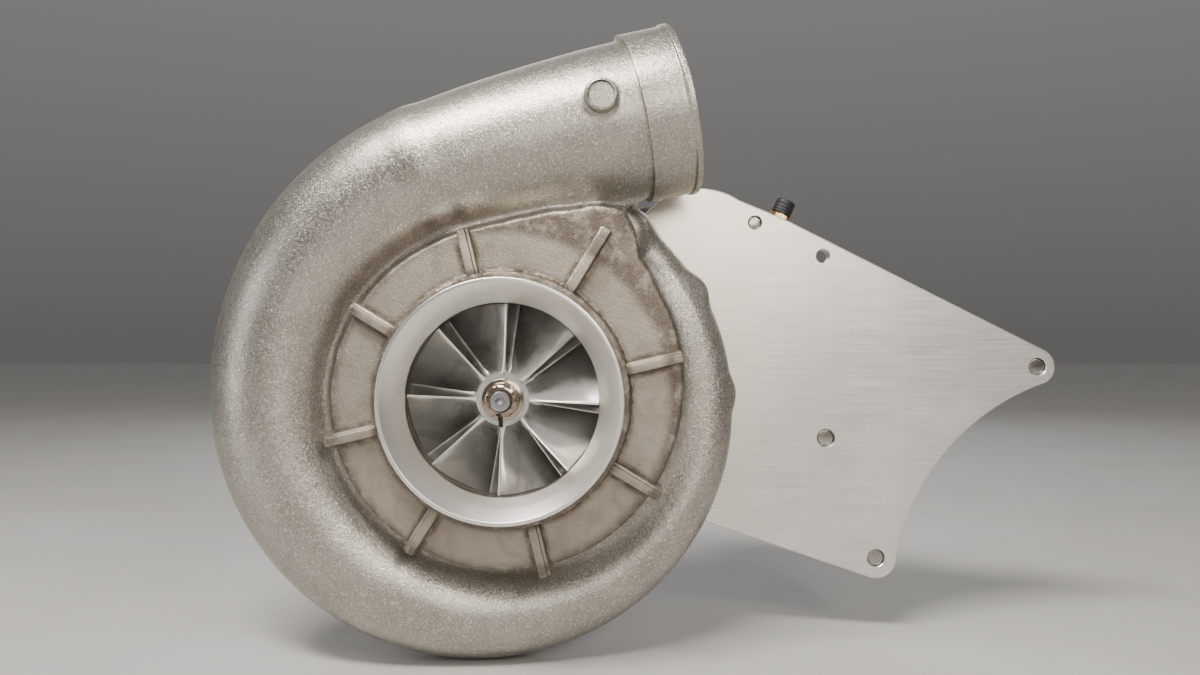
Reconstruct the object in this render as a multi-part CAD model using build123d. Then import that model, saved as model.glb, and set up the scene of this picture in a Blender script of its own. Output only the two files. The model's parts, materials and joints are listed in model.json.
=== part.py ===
from build123d import *
import math
import os

# Gear-driven centrifugal supercharger, in millimetres.
# +X right, +Y away from the inlet, +Z up. The origin is on the impeller axis at the inlet ring's front face.

# --- compressor wheel ---
BLADES = 8
INDUCER_R = 49.7
TIP_R = 70.0
HUB_NOSE_R = 14.3
WHEEL_FRONT_Y = 17.0
WHEEL_HUB_END_Y = 62.5
WHEEL_BACK_Y = 65.0
SHROUD_END_Y = 56.5
TIP_GAP = 0.5
FIRST_BLADE_DEG = -2.9
BLADE_T = 1.3
WHEEL_BORE_R = 7.0

# --- inlet ring and the cast face around it ---
RING_R = 62.7
RING_MOUTH_R = 60.6
RING_Y = 14.0
SEAT_R = 60.5
COLLAR_R = 65.6
COLLAR_Y = 7.5
FACE_R = 90.0
FACE_Y = 17.0
RIBS = 8
RIB_W = 6.4
RIB_FRONT_Y = 10.5
FIRST_RIB_DEG = 13.5

# --- scroll: angle seen from the front, centre radius, tube radius ---
SCROLL_START = [
    (60, 112.0, 9.5),
    (33, 111.5, 11.0),
    (0, 111.0, 13.0),
    (-33, 113.0, 16.5),
    (-66, 116.3, 21.0),
    (-100, 120.3, 26.3),
    (-133, 123.7, 31.3),
]
SCROLL_END = [
    (-133, 123.7, 31.3),
    (-165, 126.2, 34.4),
    (-195, 126.8, 35.4),
    (-225, 128.2, 37.0),
    (-257, 131.3, 40.0),
]
SCROLL_WALL = 4.2
SMALL_DEPTH = 60.0
LARGE_DEPTH = 45.0

# --- outlet neck: distance along its axis, tube radius ---
NECK_RISE_DEG = 13.3
NECK_BACK_DEG = 5.0
NECK = [(40, 42.6), (80, 44.2), (103, 44.8)]
BAND_END = 128.0
BAND_R = 46.2
LIP_R = 47.2
LIP_L = 3.0
NECK_BORE_R = 41.0

# --- back plate and its flange ---
SLOT_END_R = 105.0
SPIGOT_R = 96.0
BACK_RING_R = 112.0
BACK_RING_Y = 80.0
FLANGE_Y = 86.0
VOLUTE_SCREW_DEG = (0, 45, 135, 180, 225, 270, 315)
VOLUTE_SCREW_PCR = 104.0
EARS = (31, 1)
EAR_PCR = 124.0

# --- mounting plate ---
PLATE_Y = 95.0
PLATE_T = 9.5
PLATE_BACK_Y = PLATE_Y + PLATE_T
SNOUT_R = 62.0
STANDOFF_AT = [(312.8, 14.7), (215.9, -100.1), (185.9, -28.1)]
STANDOFF_R = 9.5
STANDOFF_L = 32.0
LUG_AT = (143.3, 101.2)
OPEN_HOLE_AT = (184.1, 81.1)
CASE_SCREW_PCR = 75.0
CASE_SCREW_DEG = (90, 140, 190, 240, 290)

# --- gears ---
MODULE = 2.0
DRIVE_TEETH = 78
PINION_TEETH = 22
CENTRES = MODULE * (DRIVE_TEETH + PINION_TEETH) / 2
CENTRES_DEG = 15.0
INPUT_X = CENTRES * math.cos(math.radians(CENTRES_DEG))
INPUT_Z = CENTRES * math.sin(math.radians(CENTRES_DEG))
GEAR_Y0 = 121.0
GEAR_Y1 = 137.0
BACKLASH = 0.2

# --- gearcase ---
CASE_WALL = 5.5
CASE_R = 88.0
CASE_SMALL_R = 84.0
CAVITY_Y = 110.0
RIM_LUG_R = 6.5
JOINT_Y = 141.0
COVER_Y = 148.0
GASKET_T = 0.5

# --- shafts and bearings ---
HS_FRONT_Y = 104.0
HS_REAR_Y = 142.0
IN_FRONT_Y = 107.0
IN_REAR_Y = 142.0
PULLEY_Y0 = 176.0
PULLEY_Y1 = 206.0
PULLEY_R = 42.0
RIB_PITCH = 3.56
PULLEY_RIBS = 8

FIT = 0.04

os.makedirs("parts", exist_ok=True)


def save(name, *solids):
    shape = solids[0] if len(solids) == 1 else Compound(children=list(solids))
    export_step(shape, f"parts/{name}.step")


def slab(sketch, y0, y1):
    """A sketch drawn in X and Z, thickened from y0 to y1."""
    plane = Plane(origin=(0, y0, 0), x_dir=(1, 0, 0), z_dir=(0, -1, 0))
    return extrude(plane * sketch, -(y1 - y0))


def rod(r, y0, y1, x=0.0, z=0.0):
    return slab(Pos(x, z) * Circle(r), y0, y1)


def tube(r_out, r_in, y0, y1, x=0.0, z=0.0):
    return rod(r_out, y0, y1, x, z) - rod(r_in, y0 - 1, y1 + 1, x, z)


def turned(points, x=0.0, z=0.0):
    """A closed outline of (radius, y) points turned about the line through (x, z)."""
    profile = make_face(Polyline(*points, close=True))
    return Pos(x, 0, z) * revolve(profile, Axis.Y, 360)


def polar(r, deg, x=0.0, z=0.0):
    a = math.radians(deg)
    return (x + r * math.cos(a), z + r * math.sin(a))


def spin(shape, deg):
    """Turned about the impeller axis, counter-clockwise seen from the front."""
    return shape.rotate(Axis.Y, -deg)


def socket_screw(r, length, head_r, head_h, y_seat, x, z, facing=1):
    """A socket head screw whose head sits at y_seat; facing 1 drives it towards +Y, -1 towards -Y."""
    tip = y_seat + facing * length
    top = y_seat - facing * head_h
    shank = rod(r, min(y_seat, tip), max(y_seat, tip), x, z)
    head = rod(head_r, min(y_seat, top), max(y_seat, top), x, z)
    deep = top + facing * head_h * 0.55
    socket = slab(Pos(x, z) * RegularPolygon(head_r * 0.56, 6), min(top, deep), max(top, deep))
    return head + shank - socket


def plain_screw(r, length, head_r, head_h, y_seat, x, z):
    """A screw with a plain round head in front of y_seat."""
    return rod(r, y_seat, y_seat + length, x, z) + rod(head_r, y_seat - head_h, y_seat, x, z)


def gear_outline(teeth, phase_deg):
    """Spur gear outline with involute flanks; a tooth is centred on phase_deg."""
    pitch_r = MODULE * teeth / 2
    base_r = pitch_r * math.cos(math.radians(20))
    tip_r = pitch_r + MODULE
    root_r = pitch_r - 1.25 * MODULE
    half = math.pi / 2 / teeth - BACKLASH / 2 / (2 * pitch_r)
    inv20 = math.tan(math.radians(20)) - math.radians(20)
    start_r = max(base_r, root_r)
    flank = []
    for i in range(5):
        r = start_r + (tip_r - start_r) * i / 4
        a = math.acos(min(1.0, base_r / r))
        flank.append((r, half + inv20 - (math.tan(a) - a)))
    if root_r < start_r:
        flank.insert(0, (root_r, flank[0][1]))
    points = []
    for k in range(teeth):
        mid = math.radians(phase_deg) + 2 * math.pi * k / teeth
        for r, a in flank:
            points.append((r * math.cos(mid - a), r * math.sin(mid - a)))
        for r, a in reversed(flank):
            points.append((r * math.cos(mid + a), r * math.sin(mid + a)))
    return make_face(Polyline(*points, close=True))


def bearing(name, x, z, y0, width, r_in, r_out, ball_r, balls):
    """A ball bearing as three nodes: outer race, balls with their cage, inner race."""
    pitch_r = (r_in + r_out) / 2
    mid = y0 + width / 2
    groove = Torus(pitch_r, ball_r + 0.03).rotate(Axis.X, 90)
    groove = Pos(x, mid, z) * groove
    shoulder = ball_r * 0.62
    save(f"{name}_outer_race", tube(r_out, pitch_r + shoulder, y0, y0 + width, x, z) - groove)
    save(f"{name}_inner_race", tube(pitch_r - shoulder, r_in, y0, y0 + width, x, z) - groove)
    half_w, half_t = ball_r * 1.25, shoulder * 0.45
    cage = tube(pitch_r + half_t, pitch_r - half_t, mid - half_w, mid + half_w, x, z)
    for k in range(balls):
        bx, bz = polar(pitch_r, 360 * k / balls, x, z)
        cage = cage + Pos(bx, mid, bz) * Sphere(ball_r)
    save(f"{name}_ball_cage", cage)


# ---------------------------------------------------------------- compressor wheel
def hub_point(m, under=0.0):
    t = math.pi / 2 * m
    r = TIP_R - (TIP_R - HUB_NOSE_R + under) * math.cos(t)
    y = WHEEL_FRONT_Y + (WHEEL_HUB_END_Y - WHEEL_FRONT_Y + under) * math.sin(t)
    return r, y


def shroud_point(m, gap=0.0):
    """On the blades' outer edge, or with a gap on the housing's wall in front of it."""
    t = math.pi / 2 * m
    r = TIP_R - (TIP_R - INDUCER_R - gap) * math.cos(t)
    y = WHEEL_FRONT_Y + (SHROUD_END_Y + TIP_GAP - gap - WHEEL_FRONT_Y) * math.sin(t)
    return r, y


def wrap_deg(m):
    """How far a blade has turned, counter-clockwise seen from the front, at a share m of its way."""
    return 45 * (1 - (1 - m) ** 2.4) + 22 * m * m


def blade(start_deg, m0):
    stations = 9
    sections = []
    for i in range(stations):
        m = m0 + (1 - m0) * i / (stations - 1)
        hub_r, hub_y = hub_point(m, 1.4)
        top_r, top_y = shroud_point(m)
        a = math.radians(start_deg + wrap_deg(m))
        edge = 0.55 if i == 0 else 1.0
        across = (-math.sin(a), math.cos(a))
        corners = []
        for r, y, t in ((hub_r, hub_y, BLADE_T * 1.5), (top_r, top_y, BLADE_T * 0.75)):
            h = t / 2 * edge
            x, z = r * math.cos(a), r * math.sin(a)
            dx, dz = across[0] * h, across[1] * h
            corners.append(((x - dx, y, z - dz), (x + dx, y, z + dz)))
        loop = [corners[0][0], corners[0][1], corners[1][1], corners[1][0]]
        sections.append(Face(Wire.make_polygon([Vector(*p) for p in loop], close=True)))
    return Solid.make_loft([f.outer_wire() for f in sections])


def compressor_wheel():
    nose = [hub_point(i / 10) for i in range(11)]
    with BuildSketch(Plane.XY) as profile:
        with BuildLine():
            Spline(*nose, tangents=[(0, 1), (1, 0)])
            Line(nose[-1], (TIP_R, WHEEL_BACK_Y))
            Line((TIP_R, WHEEL_BACK_Y), (20.0, WHEEL_BACK_Y))
            Line((20.0, WHEEL_BACK_Y), (18.0, WHEEL_BACK_Y + 0.5))
            Line((18.0, WHEEL_BACK_Y + 0.5), (WHEEL_BORE_R, WHEEL_BACK_Y + 0.5))
            Line((WHEEL_BORE_R, WHEEL_BACK_Y + 0.5), (WHEEL_BORE_R, WHEEL_FRONT_Y))
            Line((WHEEL_BORE_R, WHEEL_FRONT_Y), nose[0])
        make_face()
    wheel = revolve(profile.sketch, Axis.Y, 360)
    for k in range(BLADES):
        wheel = wheel + blade(FIRST_BLADE_DEG + 360 / BLADES * k, 0.0)
        wheel = wheel + blade(FIRST_BLADE_DEG + 360 / BLADES * (k - 0.5), 0.165)
    return wheel - rod(WHEEL_BORE_R, 0, 80)


save("compressor_wheel", compressor_wheel())
save("wheel_washer", tube(11.0, 5.1, 14.0, WHEEL_FRONT_Y))
nut_round = turned([(0, 5.5), (7.6, 5.5), (9.2, 7.0), (9.2, 14.0), (0, 14.0)])
save("wheel_nut", (slab(RegularPolygon(9.0, 6), 5.5, 14.0) & nut_round) - rod(5.1, 0, 20))

# ---------------------------------------------------------------- inlet ring
save(
    "inlet_ring",
    turned(
        [
            (RING_MOUTH_R, 0.0),
            (RING_R - 0.6, 0.0),
            (RING_R, 0.6),
            (RING_R, COLLAR_Y),
            (SEAT_R, COLLAR_Y),
            (SEAT_R, RING_Y),
            (INDUCER_R + TIP_GAP, RING_Y),
            (INDUCER_R + TIP_GAP, RING_Y - 0.8),
        ]
    ),
)


# ---------------------------------------------------------------- volute housing
def tube_depth(r):
    return SMALL_DEPTH - (r - 13.0) * (SMALL_DEPTH - LARGE_DEPTH) / 27.0


def scroll_section(deg, centre_r, r):
    a = math.radians(deg)
    centre = (centre_r * math.cos(a), tube_depth(r), centre_r * math.sin(a))
    return centre, (math.sin(a), 0, -math.cos(a))


def with_middles(sections):
    """The sections with one more halfway between each pair, so that a loft through them stays round."""
    full = [sections[0]]
    for a, b in zip(sections, sections[1:]):
        full.append(tuple((p + q) / 2 for p, q in zip(a, b)))
        full.append(b)
    return full


def circle_at(centre, direction, r):
    plane = Plane(origin=centre, x_dir=(0, 1, 0), z_dir=direction)
    return (plane * Circle(r)).face().outer_wire()


def neck_point(s):
    a, b = math.radians(NECK_RISE_DEG), math.radians(NECK_BACK_DEG)
    way = (math.cos(a) * math.cos(b), math.sin(b), math.sin(a) * math.cos(b))
    start, _ = scroll_section(*SCROLL_END[-1])
    return tuple(p + s * w for p, w in zip(start, way)), way


def neck_disc(r, s0, s1):
    centre, way = neck_point(s0)
    return extrude(Plane(origin=centre, x_dir=(0, 1, 0), z_dir=way) * Circle(r), s1 - s0)


def scroll_tubes(wall):
    """The two overlapping lofts of the scroll and neck, with the wall taken off."""
    start = []
    for deg, centre_r, r in with_middles(SCROLL_START):
        if wall and deg == 60:
            deg = 48
        centre, way = scroll_section(deg, centre_r, r)
        start.append(circle_at(centre, way, r - wall))
    end = []
    for deg, centre_r, r in with_middles(SCROLL_END):
        centre, way = scroll_section(deg, centre_r, r)
        end.append(circle_at(centre, way, r - wall))
    for s, r in NECK:
        centre, way = neck_point(s)
        end.append(circle_at(centre, way, r - wall))
    return Solid.make_loft(start), Solid.make_loft(end)


def volute_housing():
    first, second = scroll_tubes(0.0)
    body = turned(
        [
            (40.0, RING_Y),
            (SEAT_R + FIT, RING_Y),
            (SEAT_R + FIT, COLLAR_Y),
            (COLLAR_R, COLLAR_Y),
            (COLLAR_R + 1.2, FACE_Y),
            (FACE_R - 1.5, FACE_Y),
            (FACE_R, FACE_Y + 1.5),
            (FACE_R + 3.0, 44.0),
            (SLOT_END_R - 3, 52.0),
            (BACK_RING_R, 66.0),
            (BACK_RING_R, BACK_RING_Y),
            (40.0, BACK_RING_Y),
        ]
    )
    rib_outline = Pos((COLLAR_R + FACE_R) / 2, 0) * Rectangle(FACE_R - COLLAR_R + 3.0, RIB_W)
    rib = slab(rib_outline, RIB_FRONT_Y, FACE_Y + 4)
    for k in range(RIBS):
        body = body + spin(rib, FIRST_RIB_DEG + 360 / RIBS * k)
    web = turned([(86.0, FACE_Y), (96.0, FACE_Y), (97.5, FACE_Y + 1.5), (108.0, 60.0), (86.0, 60.0)])
    wedge = slab(make_face(Polyline((0, 0), (0, 170), (140, 120), (150, 36), close=True)), 10, 70)
    body = body + (web & wedge)
    body = body + first + second
    body = body + neck_disc(BAND_R, 101.0, BAND_END) + neck_disc(LIP_R, BAND_END - LIP_L, BAND_END)
    boss_at, _ = neck_point(83.0)
    body = body + rod(8.1, 1.8, 30.0, boss_at[0], boss_at[2] + 4.5)
    for deg in EARS:
        x, z = polar(EAR_PCR, deg)
        body = body + rod(8.5, 64.0, BACK_RING_Y, x, z)
    facing = tube(BACK_RING_R + 0.3, 90.0, BACK_RING_Y, BACK_RING_Y + 8)
    body = body - (facing - neck_disc(NECK[-1][1] + 1.2, -60.0, 110.0))
    hollow_a, hollow_b = scroll_tubes(SCROLL_WALL)
    shroud = [shroud_point(i / 8, TIP_GAP) for i in range(9)]
    with BuildSketch(Plane.XY) as space:
        with BuildLine():
            Line((0, 0), (shroud[0][0], 0))
            Line((shroud[0][0], 0), shroud[0])
            Spline(*shroud, tangents=[(0, 1), (1, 0)])
            Line(shroud[-1], (SLOT_END_R, SHROUD_END_Y))
            Line((SLOT_END_R, SHROUD_END_Y), (SLOT_END_R, WHEEL_HUB_END_Y))
            Line((SLOT_END_R, WHEEL_HUB_END_Y), (SPIGOT_R, WHEEL_HUB_END_Y))
            Line((SPIGOT_R, WHEEL_HUB_END_Y), (SPIGOT_R, 90))
            Line((SPIGOT_R, 90), (0, 90))
            Line((0, 90), (0, 0))
        make_face()
    body = body - revolve(space.sketch, Axis.Y, 360)
    body = body - hollow_a - hollow_b - neck_disc(NECK_BORE_R, 95.0, BAND_END + 5)
    for deg in VOLUTE_SCREW_DEG:
        x, z = polar(VOLUTE_SCREW_PCR, deg)
        body = body - rod(2.5 + FIT, BACK_RING_Y - 9, BACK_RING_Y + 1, x, z)
    return body


save("volute_housing", volute_housing())

# ---------------------------------------------------------------- back plate, seal and its fasteners
ORING_R = 1.45
back_plate = turned(
    [
        (20.0, WHEEL_BACK_Y + 2),
        (TIP_R + 1, WHEEL_BACK_Y + 2),
        (TIP_R + 1, WHEEL_HUB_END_Y),
        (SPIGOT_R - FIT, WHEEL_HUB_END_Y),
        (SPIGOT_R - FIT, 72.0),
        (SPIGOT_R - 2.4, 72.0),
        (SPIGOT_R - 2.4, 75.2),
        (SPIGOT_R - FIT, 75.2),
        (SPIGOT_R - FIT, BACK_RING_Y),
        (BACK_RING_R, BACK_RING_Y),
        (BACK_RING_R, FLANGE_Y),
        (80.0, FLANGE_Y),
        (76.0, 74.0),
        (64.0, 74.0),
        (62.0, FLANGE_Y),
        (18.0, FLANGE_Y),
        (18.0, 69.0),
        (13.5, 69.0),
        (13.5, WHEEL_BACK_Y + 2),
    ]
)
for deg in VOLUTE_SCREW_DEG:
    hole_x, hole_z = polar(VOLUTE_SCREW_PCR, deg)
    back_plate = back_plate - rod(2.75, 70, 90, hole_x, hole_z)
back_plate = back_plate - neck_disc(NECK[-1][1] + 1.2, -60.0, 110.0)
for k in range(6):
    hole_x, hole_z = polar(42, 60 * k)
    back_plate = back_plate - rod(3.2, 60, 90, hole_x, hole_z) - rod(5.2, 60, 74, hole_x, hole_z)
save("back_plate", back_plate)
oring = Torus(SPIGOT_R - 0.9, ORING_R).rotate(Axis.X, 90).translate((0, 73.6, 0))
save("volute_oring", oring & tube(SPIGOT_R - FIT, SPIGOT_R - 2.4, 70, 78))
save(
    "volute_screws",
    *[
        socket_screw(2.5, 14, 4.25, 5, FLANGE_Y, *polar(VOLUTE_SCREW_PCR, deg), facing=-1)
        for deg in VOLUTE_SCREW_DEG
    ],
)
save("back_plate_screws", *[socket_screw(3.0, 28, 5.0, 6, 74, *polar(42, 60 * k)) for k in range(6)])
save("shaft_seal", turned([(12.1, 70.0), (13.0, 69.2), (17.99, 69.2), (17.99, 79.0), (12.1, 79.0)]))
save("seal_sleeve", turned([(7.0, 65.6), (12.0, 65.6), (12.0, 82.0), (15.0, 82.0), (15.0, 84.0), (7.0, 84.0)]))

# ---------------------------------------------------------------- high-speed shaft
hs_shaft = turned(
    [
        (0, 2.5),
        (4.5, 2.5),
        (5.0, 3.0),
        (5.0, 17.2),
        (6.98, 17.2),
        (6.98, 84.0),
        (8.5, 84.0),
        (8.5, 118.5),
        (10.0, 118.5),
        (10.0, 139.5),
        (7.5, 139.5),
        (7.5, 153.0),
        (0, 153.0),
    ]
)
save("high_speed_shaft", hs_shaft - rod(2.5, 0, 14))
pinion = slab(gear_outline(PINION_TEETH, CENTRES_DEG), GEAR_Y0 - 0.5, GEAR_Y1 + 0.5)
save("pinion_gear", pinion - rod(10.02, GEAR_Y0 - 5, GEAR_Y1 + 5))
bearing("shaft_bearing_front", 0, 0, HS_FRONT_Y, 12.0, 8.5, 20.0, 3.4, 9)
bearing("shaft_bearing_rear", 0, 0, HS_REAR_Y, 11.0, 7.5, 17.5, 3.0, 9)

# ---------------------------------------------------------------- mounting plate
with BuildSketch() as plate_sketch:
    with BuildLine():
        ThreePointArc((0, -85), (-85, 0), (0, 85))
        Line((0, 85), (60, 88))
        Line((60, 88), (71, 97))
        ThreePointArc((71, 97), (72.5, 102.5), (78, 107))
        ThreePointArc((78, 107), (104, 121.2), (134, 114.5))
        Line((134, 114.5), (160, 103.8))
        Line((160, 103.8), (317.6, 24.4))
        ThreePointArc((317.6, 24.4), (323.2, 11.9), (318, 5.2))
        ThreePointArc((318, 5.2), (257, -37.5), (228.3, -100.1))
        ThreePointArc((228.3, -100.1), (223.9, -109.6), (211.9, -111.8))
        Line((211.9, -111.8), (104, -75.1))
        Line((104, -75.1), (0, -85))
    make_face()
plate = slab(plate_sketch.sketch, PLATE_Y, PLATE_BACK_Y)
plate = plate - rod(SNOUT_R, 90, 110)
for x, z in STANDOFF_AT:
    plate = plate - rod(5.2, PLATE_Y - 1, PLATE_Y + 7, x, z) - rod(3.2, 90, 110, x, z)
plate = plate - rod(4.0, PLATE_Y - 1, PLATE_Y + 6, *LUG_AT) - rod(2.1, 90, 110, *LUG_AT)
plate = plate - rod(4.0, 90, 110, *OPEN_HOLE_AT)
for deg in CASE_SCREW_DEG:
    plate = plate - rod(3.2, 90, 110, *polar(CASE_SCREW_PCR, deg))
save("mounting_plate", plate)
save("plate_standoffs", *[
    tube(STANDOFF_R, 2.5, PLATE_BACK_Y, PLATE_BACK_Y + 18, x, z)
    + (rod(STANDOFF_R, PLATE_BACK_Y + 18, PLATE_BACK_Y + STANDOFF_L, x, z)
       - rod(4.2, PLATE_BACK_Y + 20, PLATE_BACK_Y + STANDOFF_L + 1, x, z))
    for x, z in STANDOFF_AT
])
save("standoff_screws", *[plain_screw(2.5 - FIT, 18, 4.75, 5.3, PLATE_Y + 7, x, z) for x, z in STANDOFF_AT])
save(
    "plate_case_screws",
    *[
        socket_screw(3.0, 19, 5.0, 5.5, PLATE_Y, *polar(CASE_SCREW_PCR, deg))
        for deg in CASE_SCREW_DEG
    ],
)
save("plate_lug_screw", plain_screw(2.0, 14, 3.6, 4.5, PLATE_Y + 6, *LUG_AT))

# ---------------------------------------------------------------- gearcase
def case_outline(grow):
    """The outline round both shafts, offset by grow."""
    big = Pos(INPUT_X, INPUT_Z) * Circle(CASE_R + grow)
    small = Circle(CASE_SMALL_R + grow)
    return make_hull(big.edges() + small.edges())


def flange_points():
    """Screw positions on the outline, in lugs that stand out of it."""
    points = [polar(CASE_SMALL_R + 0.5, deg) for deg in (100, 145, 190, 235, 270)]
    points += [polar(CASE_R + 0.5, deg, INPUT_X, INPUT_Z) for deg in (110, 70, 25, -20, -65)]
    return points


outer = case_outline(0.0)
inner = case_outline(-CASE_WALL)
front = slab(outer, PLATE_BACK_Y, JOINT_Y) - slab(inner, CAVITY_Y, JOINT_Y + 1)
front = front + (rod(9.0, PLATE_BACK_Y, 122, *LUG_AT) - slab(inner, 90, 160))
lug_outline = make_face(Polyline((134, 108), (151, 97), (140, 80), (120, 92), close=True))
lug_web = slab(lug_outline, PLATE_BACK_Y, 122)
front = front + (lug_web - slab(inner, 90, 160))
front = front + rod(SNOUT_R - FIT, FLANGE_Y, PLATE_BACK_Y)
front = front - tube(54, 28, 93, 112)
for k in range(6):
    screw_at = polar(42, 60 * k)
    front = front + rod(7.5, 93, CAVITY_Y, *screw_at) - rod(3.0 + FIT, FLANGE_Y - 1, 103, *screw_at)
front = front + rod(28, 100, 118) + rod(27, CAVITY_Y, 120.3, INPUT_X, INPUT_Z)
front = front - rod(9.5, 80, 120) - rod(18.0, FLANGE_Y - 1, 90) - rod(20.0, HS_FRONT_Y, 130)
front = front - rod(20.0, IN_FRONT_Y, 130, INPUT_X, INPUT_Z)
front = front - rod(25.5, 118, 140)
for x, z in flange_points():
    front = front + (rod(RIM_LUG_R, 124, JOINT_Y, x, z) - slab(inner, 90, 160))
    front = front - rod(2.5 + FIT, JOINT_Y - 14, JOINT_Y + 1, x, z)
for deg in CASE_SCREW_DEG:
    x, z = polar(CASE_SCREW_PCR, deg)
    front = front + rod(7.0, CAVITY_Y - 1, 118, x, z) - rod(3.0 + FIT, PLATE_BACK_Y - 1, 115, x, z)
front = front - rod(2.0 + FIT, PLATE_BACK_Y - 1, 117, *LUG_AT)

# breather boss on top and drain boss at the bottom
VENT_LEAN_DEG = 24.0
VENT_Y = 118.0
VENT_SEAT = (159.2, 100.9)
lean = (math.sin(math.radians(VENT_LEAN_DEG)), 0, math.cos(math.radians(VENT_LEAN_DEG)))


def vent_rod(r, s0, s1, sides=0):
    origin = (VENT_SEAT[0] + lean[0] * s0, VENT_Y, VENT_SEAT[1] + lean[2] * s0)
    shape = RegularPolygon(r, sides) if sides else Circle(r)
    return extrude(Plane(origin=origin, x_dir=(0, 1, 0), z_dir=lean) * shape, s1 - s0)


DRAIN_Z = INPUT_Z - CASE_R - 4.0
front = front + (vent_rod(9.0, -22, 0) - slab(inner, 90, 160)) - vent_rod(4.0, -32, 1)
drain_boss = extrude(Plane(origin=(INPUT_X, 124, DRAIN_Z - 3), z_dir=(0, 0, 1)) * Circle(9.0), 12)
front = front + (drain_boss - slab(inner, 90, 160))
front = front - extrude(Plane(origin=(INPUT_X, 124, DRAIN_Z - 4), z_dir=(0, 0, 1)) * Circle(5.0), 20)
save("gearcase_front", front)

vent = vent_rod(7.0, 0, 5.5, 6) + vent_rod(5.0, 5.5, 12.5) + vent_rod(3.95, -8, 0)
save("vent_fitting", vent - vent_rod(1.6, -9, 14))
save("vent_cap", vent_rod(6.3, 6.3, 18.0) - vent_rod(5.05, 6.0, 13.0))
drain = extrude(Plane(origin=(INPUT_X, 124, DRAIN_Z - 3), z_dir=(0, 0, -1)) * RegularPolygon(8.0, 6), 5)
drain = drain + extrude(Plane(origin=(INPUT_X, 124, DRAIN_Z - 3), z_dir=(0, 0, 1)) * Circle(4.95), 8)
save("drain_plug", drain)

gasket = slab(outer, JOINT_Y, JOINT_Y + GASKET_T)
for x, z in flange_points():
    gasket = gasket + rod(RIM_LUG_R, JOINT_Y, JOINT_Y + GASKET_T, x, z)
    gasket = gasket - rod(2.8, JOINT_Y - 1, JOINT_Y + 2, x, z)
gasket = gasket - slab(inner, JOINT_Y - 1, JOINT_Y + 2)
save("case_gasket", gasket)

cover = slab(outer, JOINT_Y + GASKET_T, COVER_Y) + rod(23.0, COVER_Y, 158)
cover = cover + rod(33.0, COVER_Y, 169, INPUT_X, INPUT_Z)
for x, z in flange_points():
    cover = cover + rod(RIM_LUG_R, JOINT_Y + GASKET_T, COVER_Y, x, z)
for k in range(6):
    strut = slab(Pos(54, 0) * Rectangle(56, 5), COVER_Y, 153)
    strut = strut.rotate(Axis.Y, -60 * k).translate((INPUT_X, 0, INPUT_Z))
    cover = cover + (strut & slab(case_outline(-4.0), 100, 200))
cover = cover - rod(17.5, 120, HS_REAR_Y + 11) - rod(26.0, 120, IN_REAR_Y + 15, INPUT_X, INPUT_Z)
cover = cover - rod(20.0, 160, 175, INPUT_X, INPUT_Z) - rod(14.0, 120, 175, INPUT_X, INPUT_Z)
for x, z in flange_points():
    cover = cover - rod(2.8, 130, 160, x, z)
cover = cover - rod(12.5, 120, 155)
save("gearcase_cover", cover)
save("case_screws", *[socket_screw(2.5, 19, 4.25, 5, COVER_Y, x, z, facing=-1) for x, z in flange_points()])

# ---------------------------------------------------------------- drive side
input_shaft = turned(
    [
        (0, 107.6),
        (8.5, 107.6),
        (8.5, 119.8),
        (14.0, 119.8),
        (14.0, 138.5),
        (15.5, 138.5),
        (15.5, 141.8),
        (12.5, 141.8),
        (12.5, 172.0),
        (11.0, 172.0),
        (11.0, 205.0),
        (0, 205.0),
    ],
    INPUT_X,
    INPUT_Z,
)
key_x = INPUT_X + 11.0
pulley_key_slot = slab(Pos(key_x, INPUT_Z) * Rectangle(5.0, 5.0), 180, 200)
save("input_shaft", input_shaft - pulley_key_slot - rod(4.2, 185, 210, INPUT_X, INPUT_Z))
drive_phase = CENTRES_DEG + 180 + 180 / DRIVE_TEETH
drive_gear = slab(Pos(INPUT_X, INPUT_Z) * gear_outline(DRIVE_TEETH, drive_phase), GEAR_Y0, GEAR_Y1)
for y in (GEAR_Y0 - 1, GEAR_Y1 - 4):
    drive_gear = drive_gear - tube(66, 26, y, y + 5, INPUT_X, INPUT_Z)
for k in range(6):
    drive_gear = drive_gear - rod(12, GEAR_Y0 - 2, GEAR_Y1 + 2, *polar(46, 60 * k, INPUT_X, INPUT_Z))
save("drive_gear", drive_gear - rod(14.02, 100, 150, INPUT_X, INPUT_Z))
bearing("input_bearing_front", INPUT_X, INPUT_Z, IN_FRONT_Y, 12.0, 8.5, 20.0, 3.4, 8)
bearing("input_bearing_rear", INPUT_X, INPUT_Z, IN_REAR_Y, 15.0, 12.5, 26.0, 4.0, 9)
save("input_seal", tube(20.0, 12.55, 161.0, 168.0, INPUT_X, INPUT_Z))

rib_points = [(11.02, PULLEY_Y0), (PULLEY_R + 1.5, PULLEY_Y0), (PULLEY_R + 1.5, PULLEY_Y0 + 0.8)]
for k in range(PULLEY_RIBS):
    y = PULLEY_Y0 + 0.8 + RIB_PITCH * k
    rib_points += [(PULLEY_R, y + 0.25), (PULLEY_R - 2.4, y + RIB_PITCH / 2), (PULLEY_R, y + RIB_PITCH - 0.25)]
rib_points += [(PULLEY_R + 1.5, PULLEY_Y1 - 0.7), (PULLEY_R + 1.5, PULLEY_Y1), (PULLEY_R - 6, PULLEY_Y1)]
rib_points += [(PULLEY_R - 8, PULLEY_Y1 - 14), (20.0, PULLEY_Y1 - 14), (20.0, PULLEY_Y1 - 1.5), (11.02, PULLEY_Y1 - 1.5)]
pulley = turned(rib_points, INPUT_X, INPUT_Z)
for k in range(5):
    pulley = pulley - rod(4.5, PULLEY_Y0 - 5, PULLEY_Y1, *polar(27, 72 * k + 18, INPUT_X, INPUT_Z))
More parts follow.
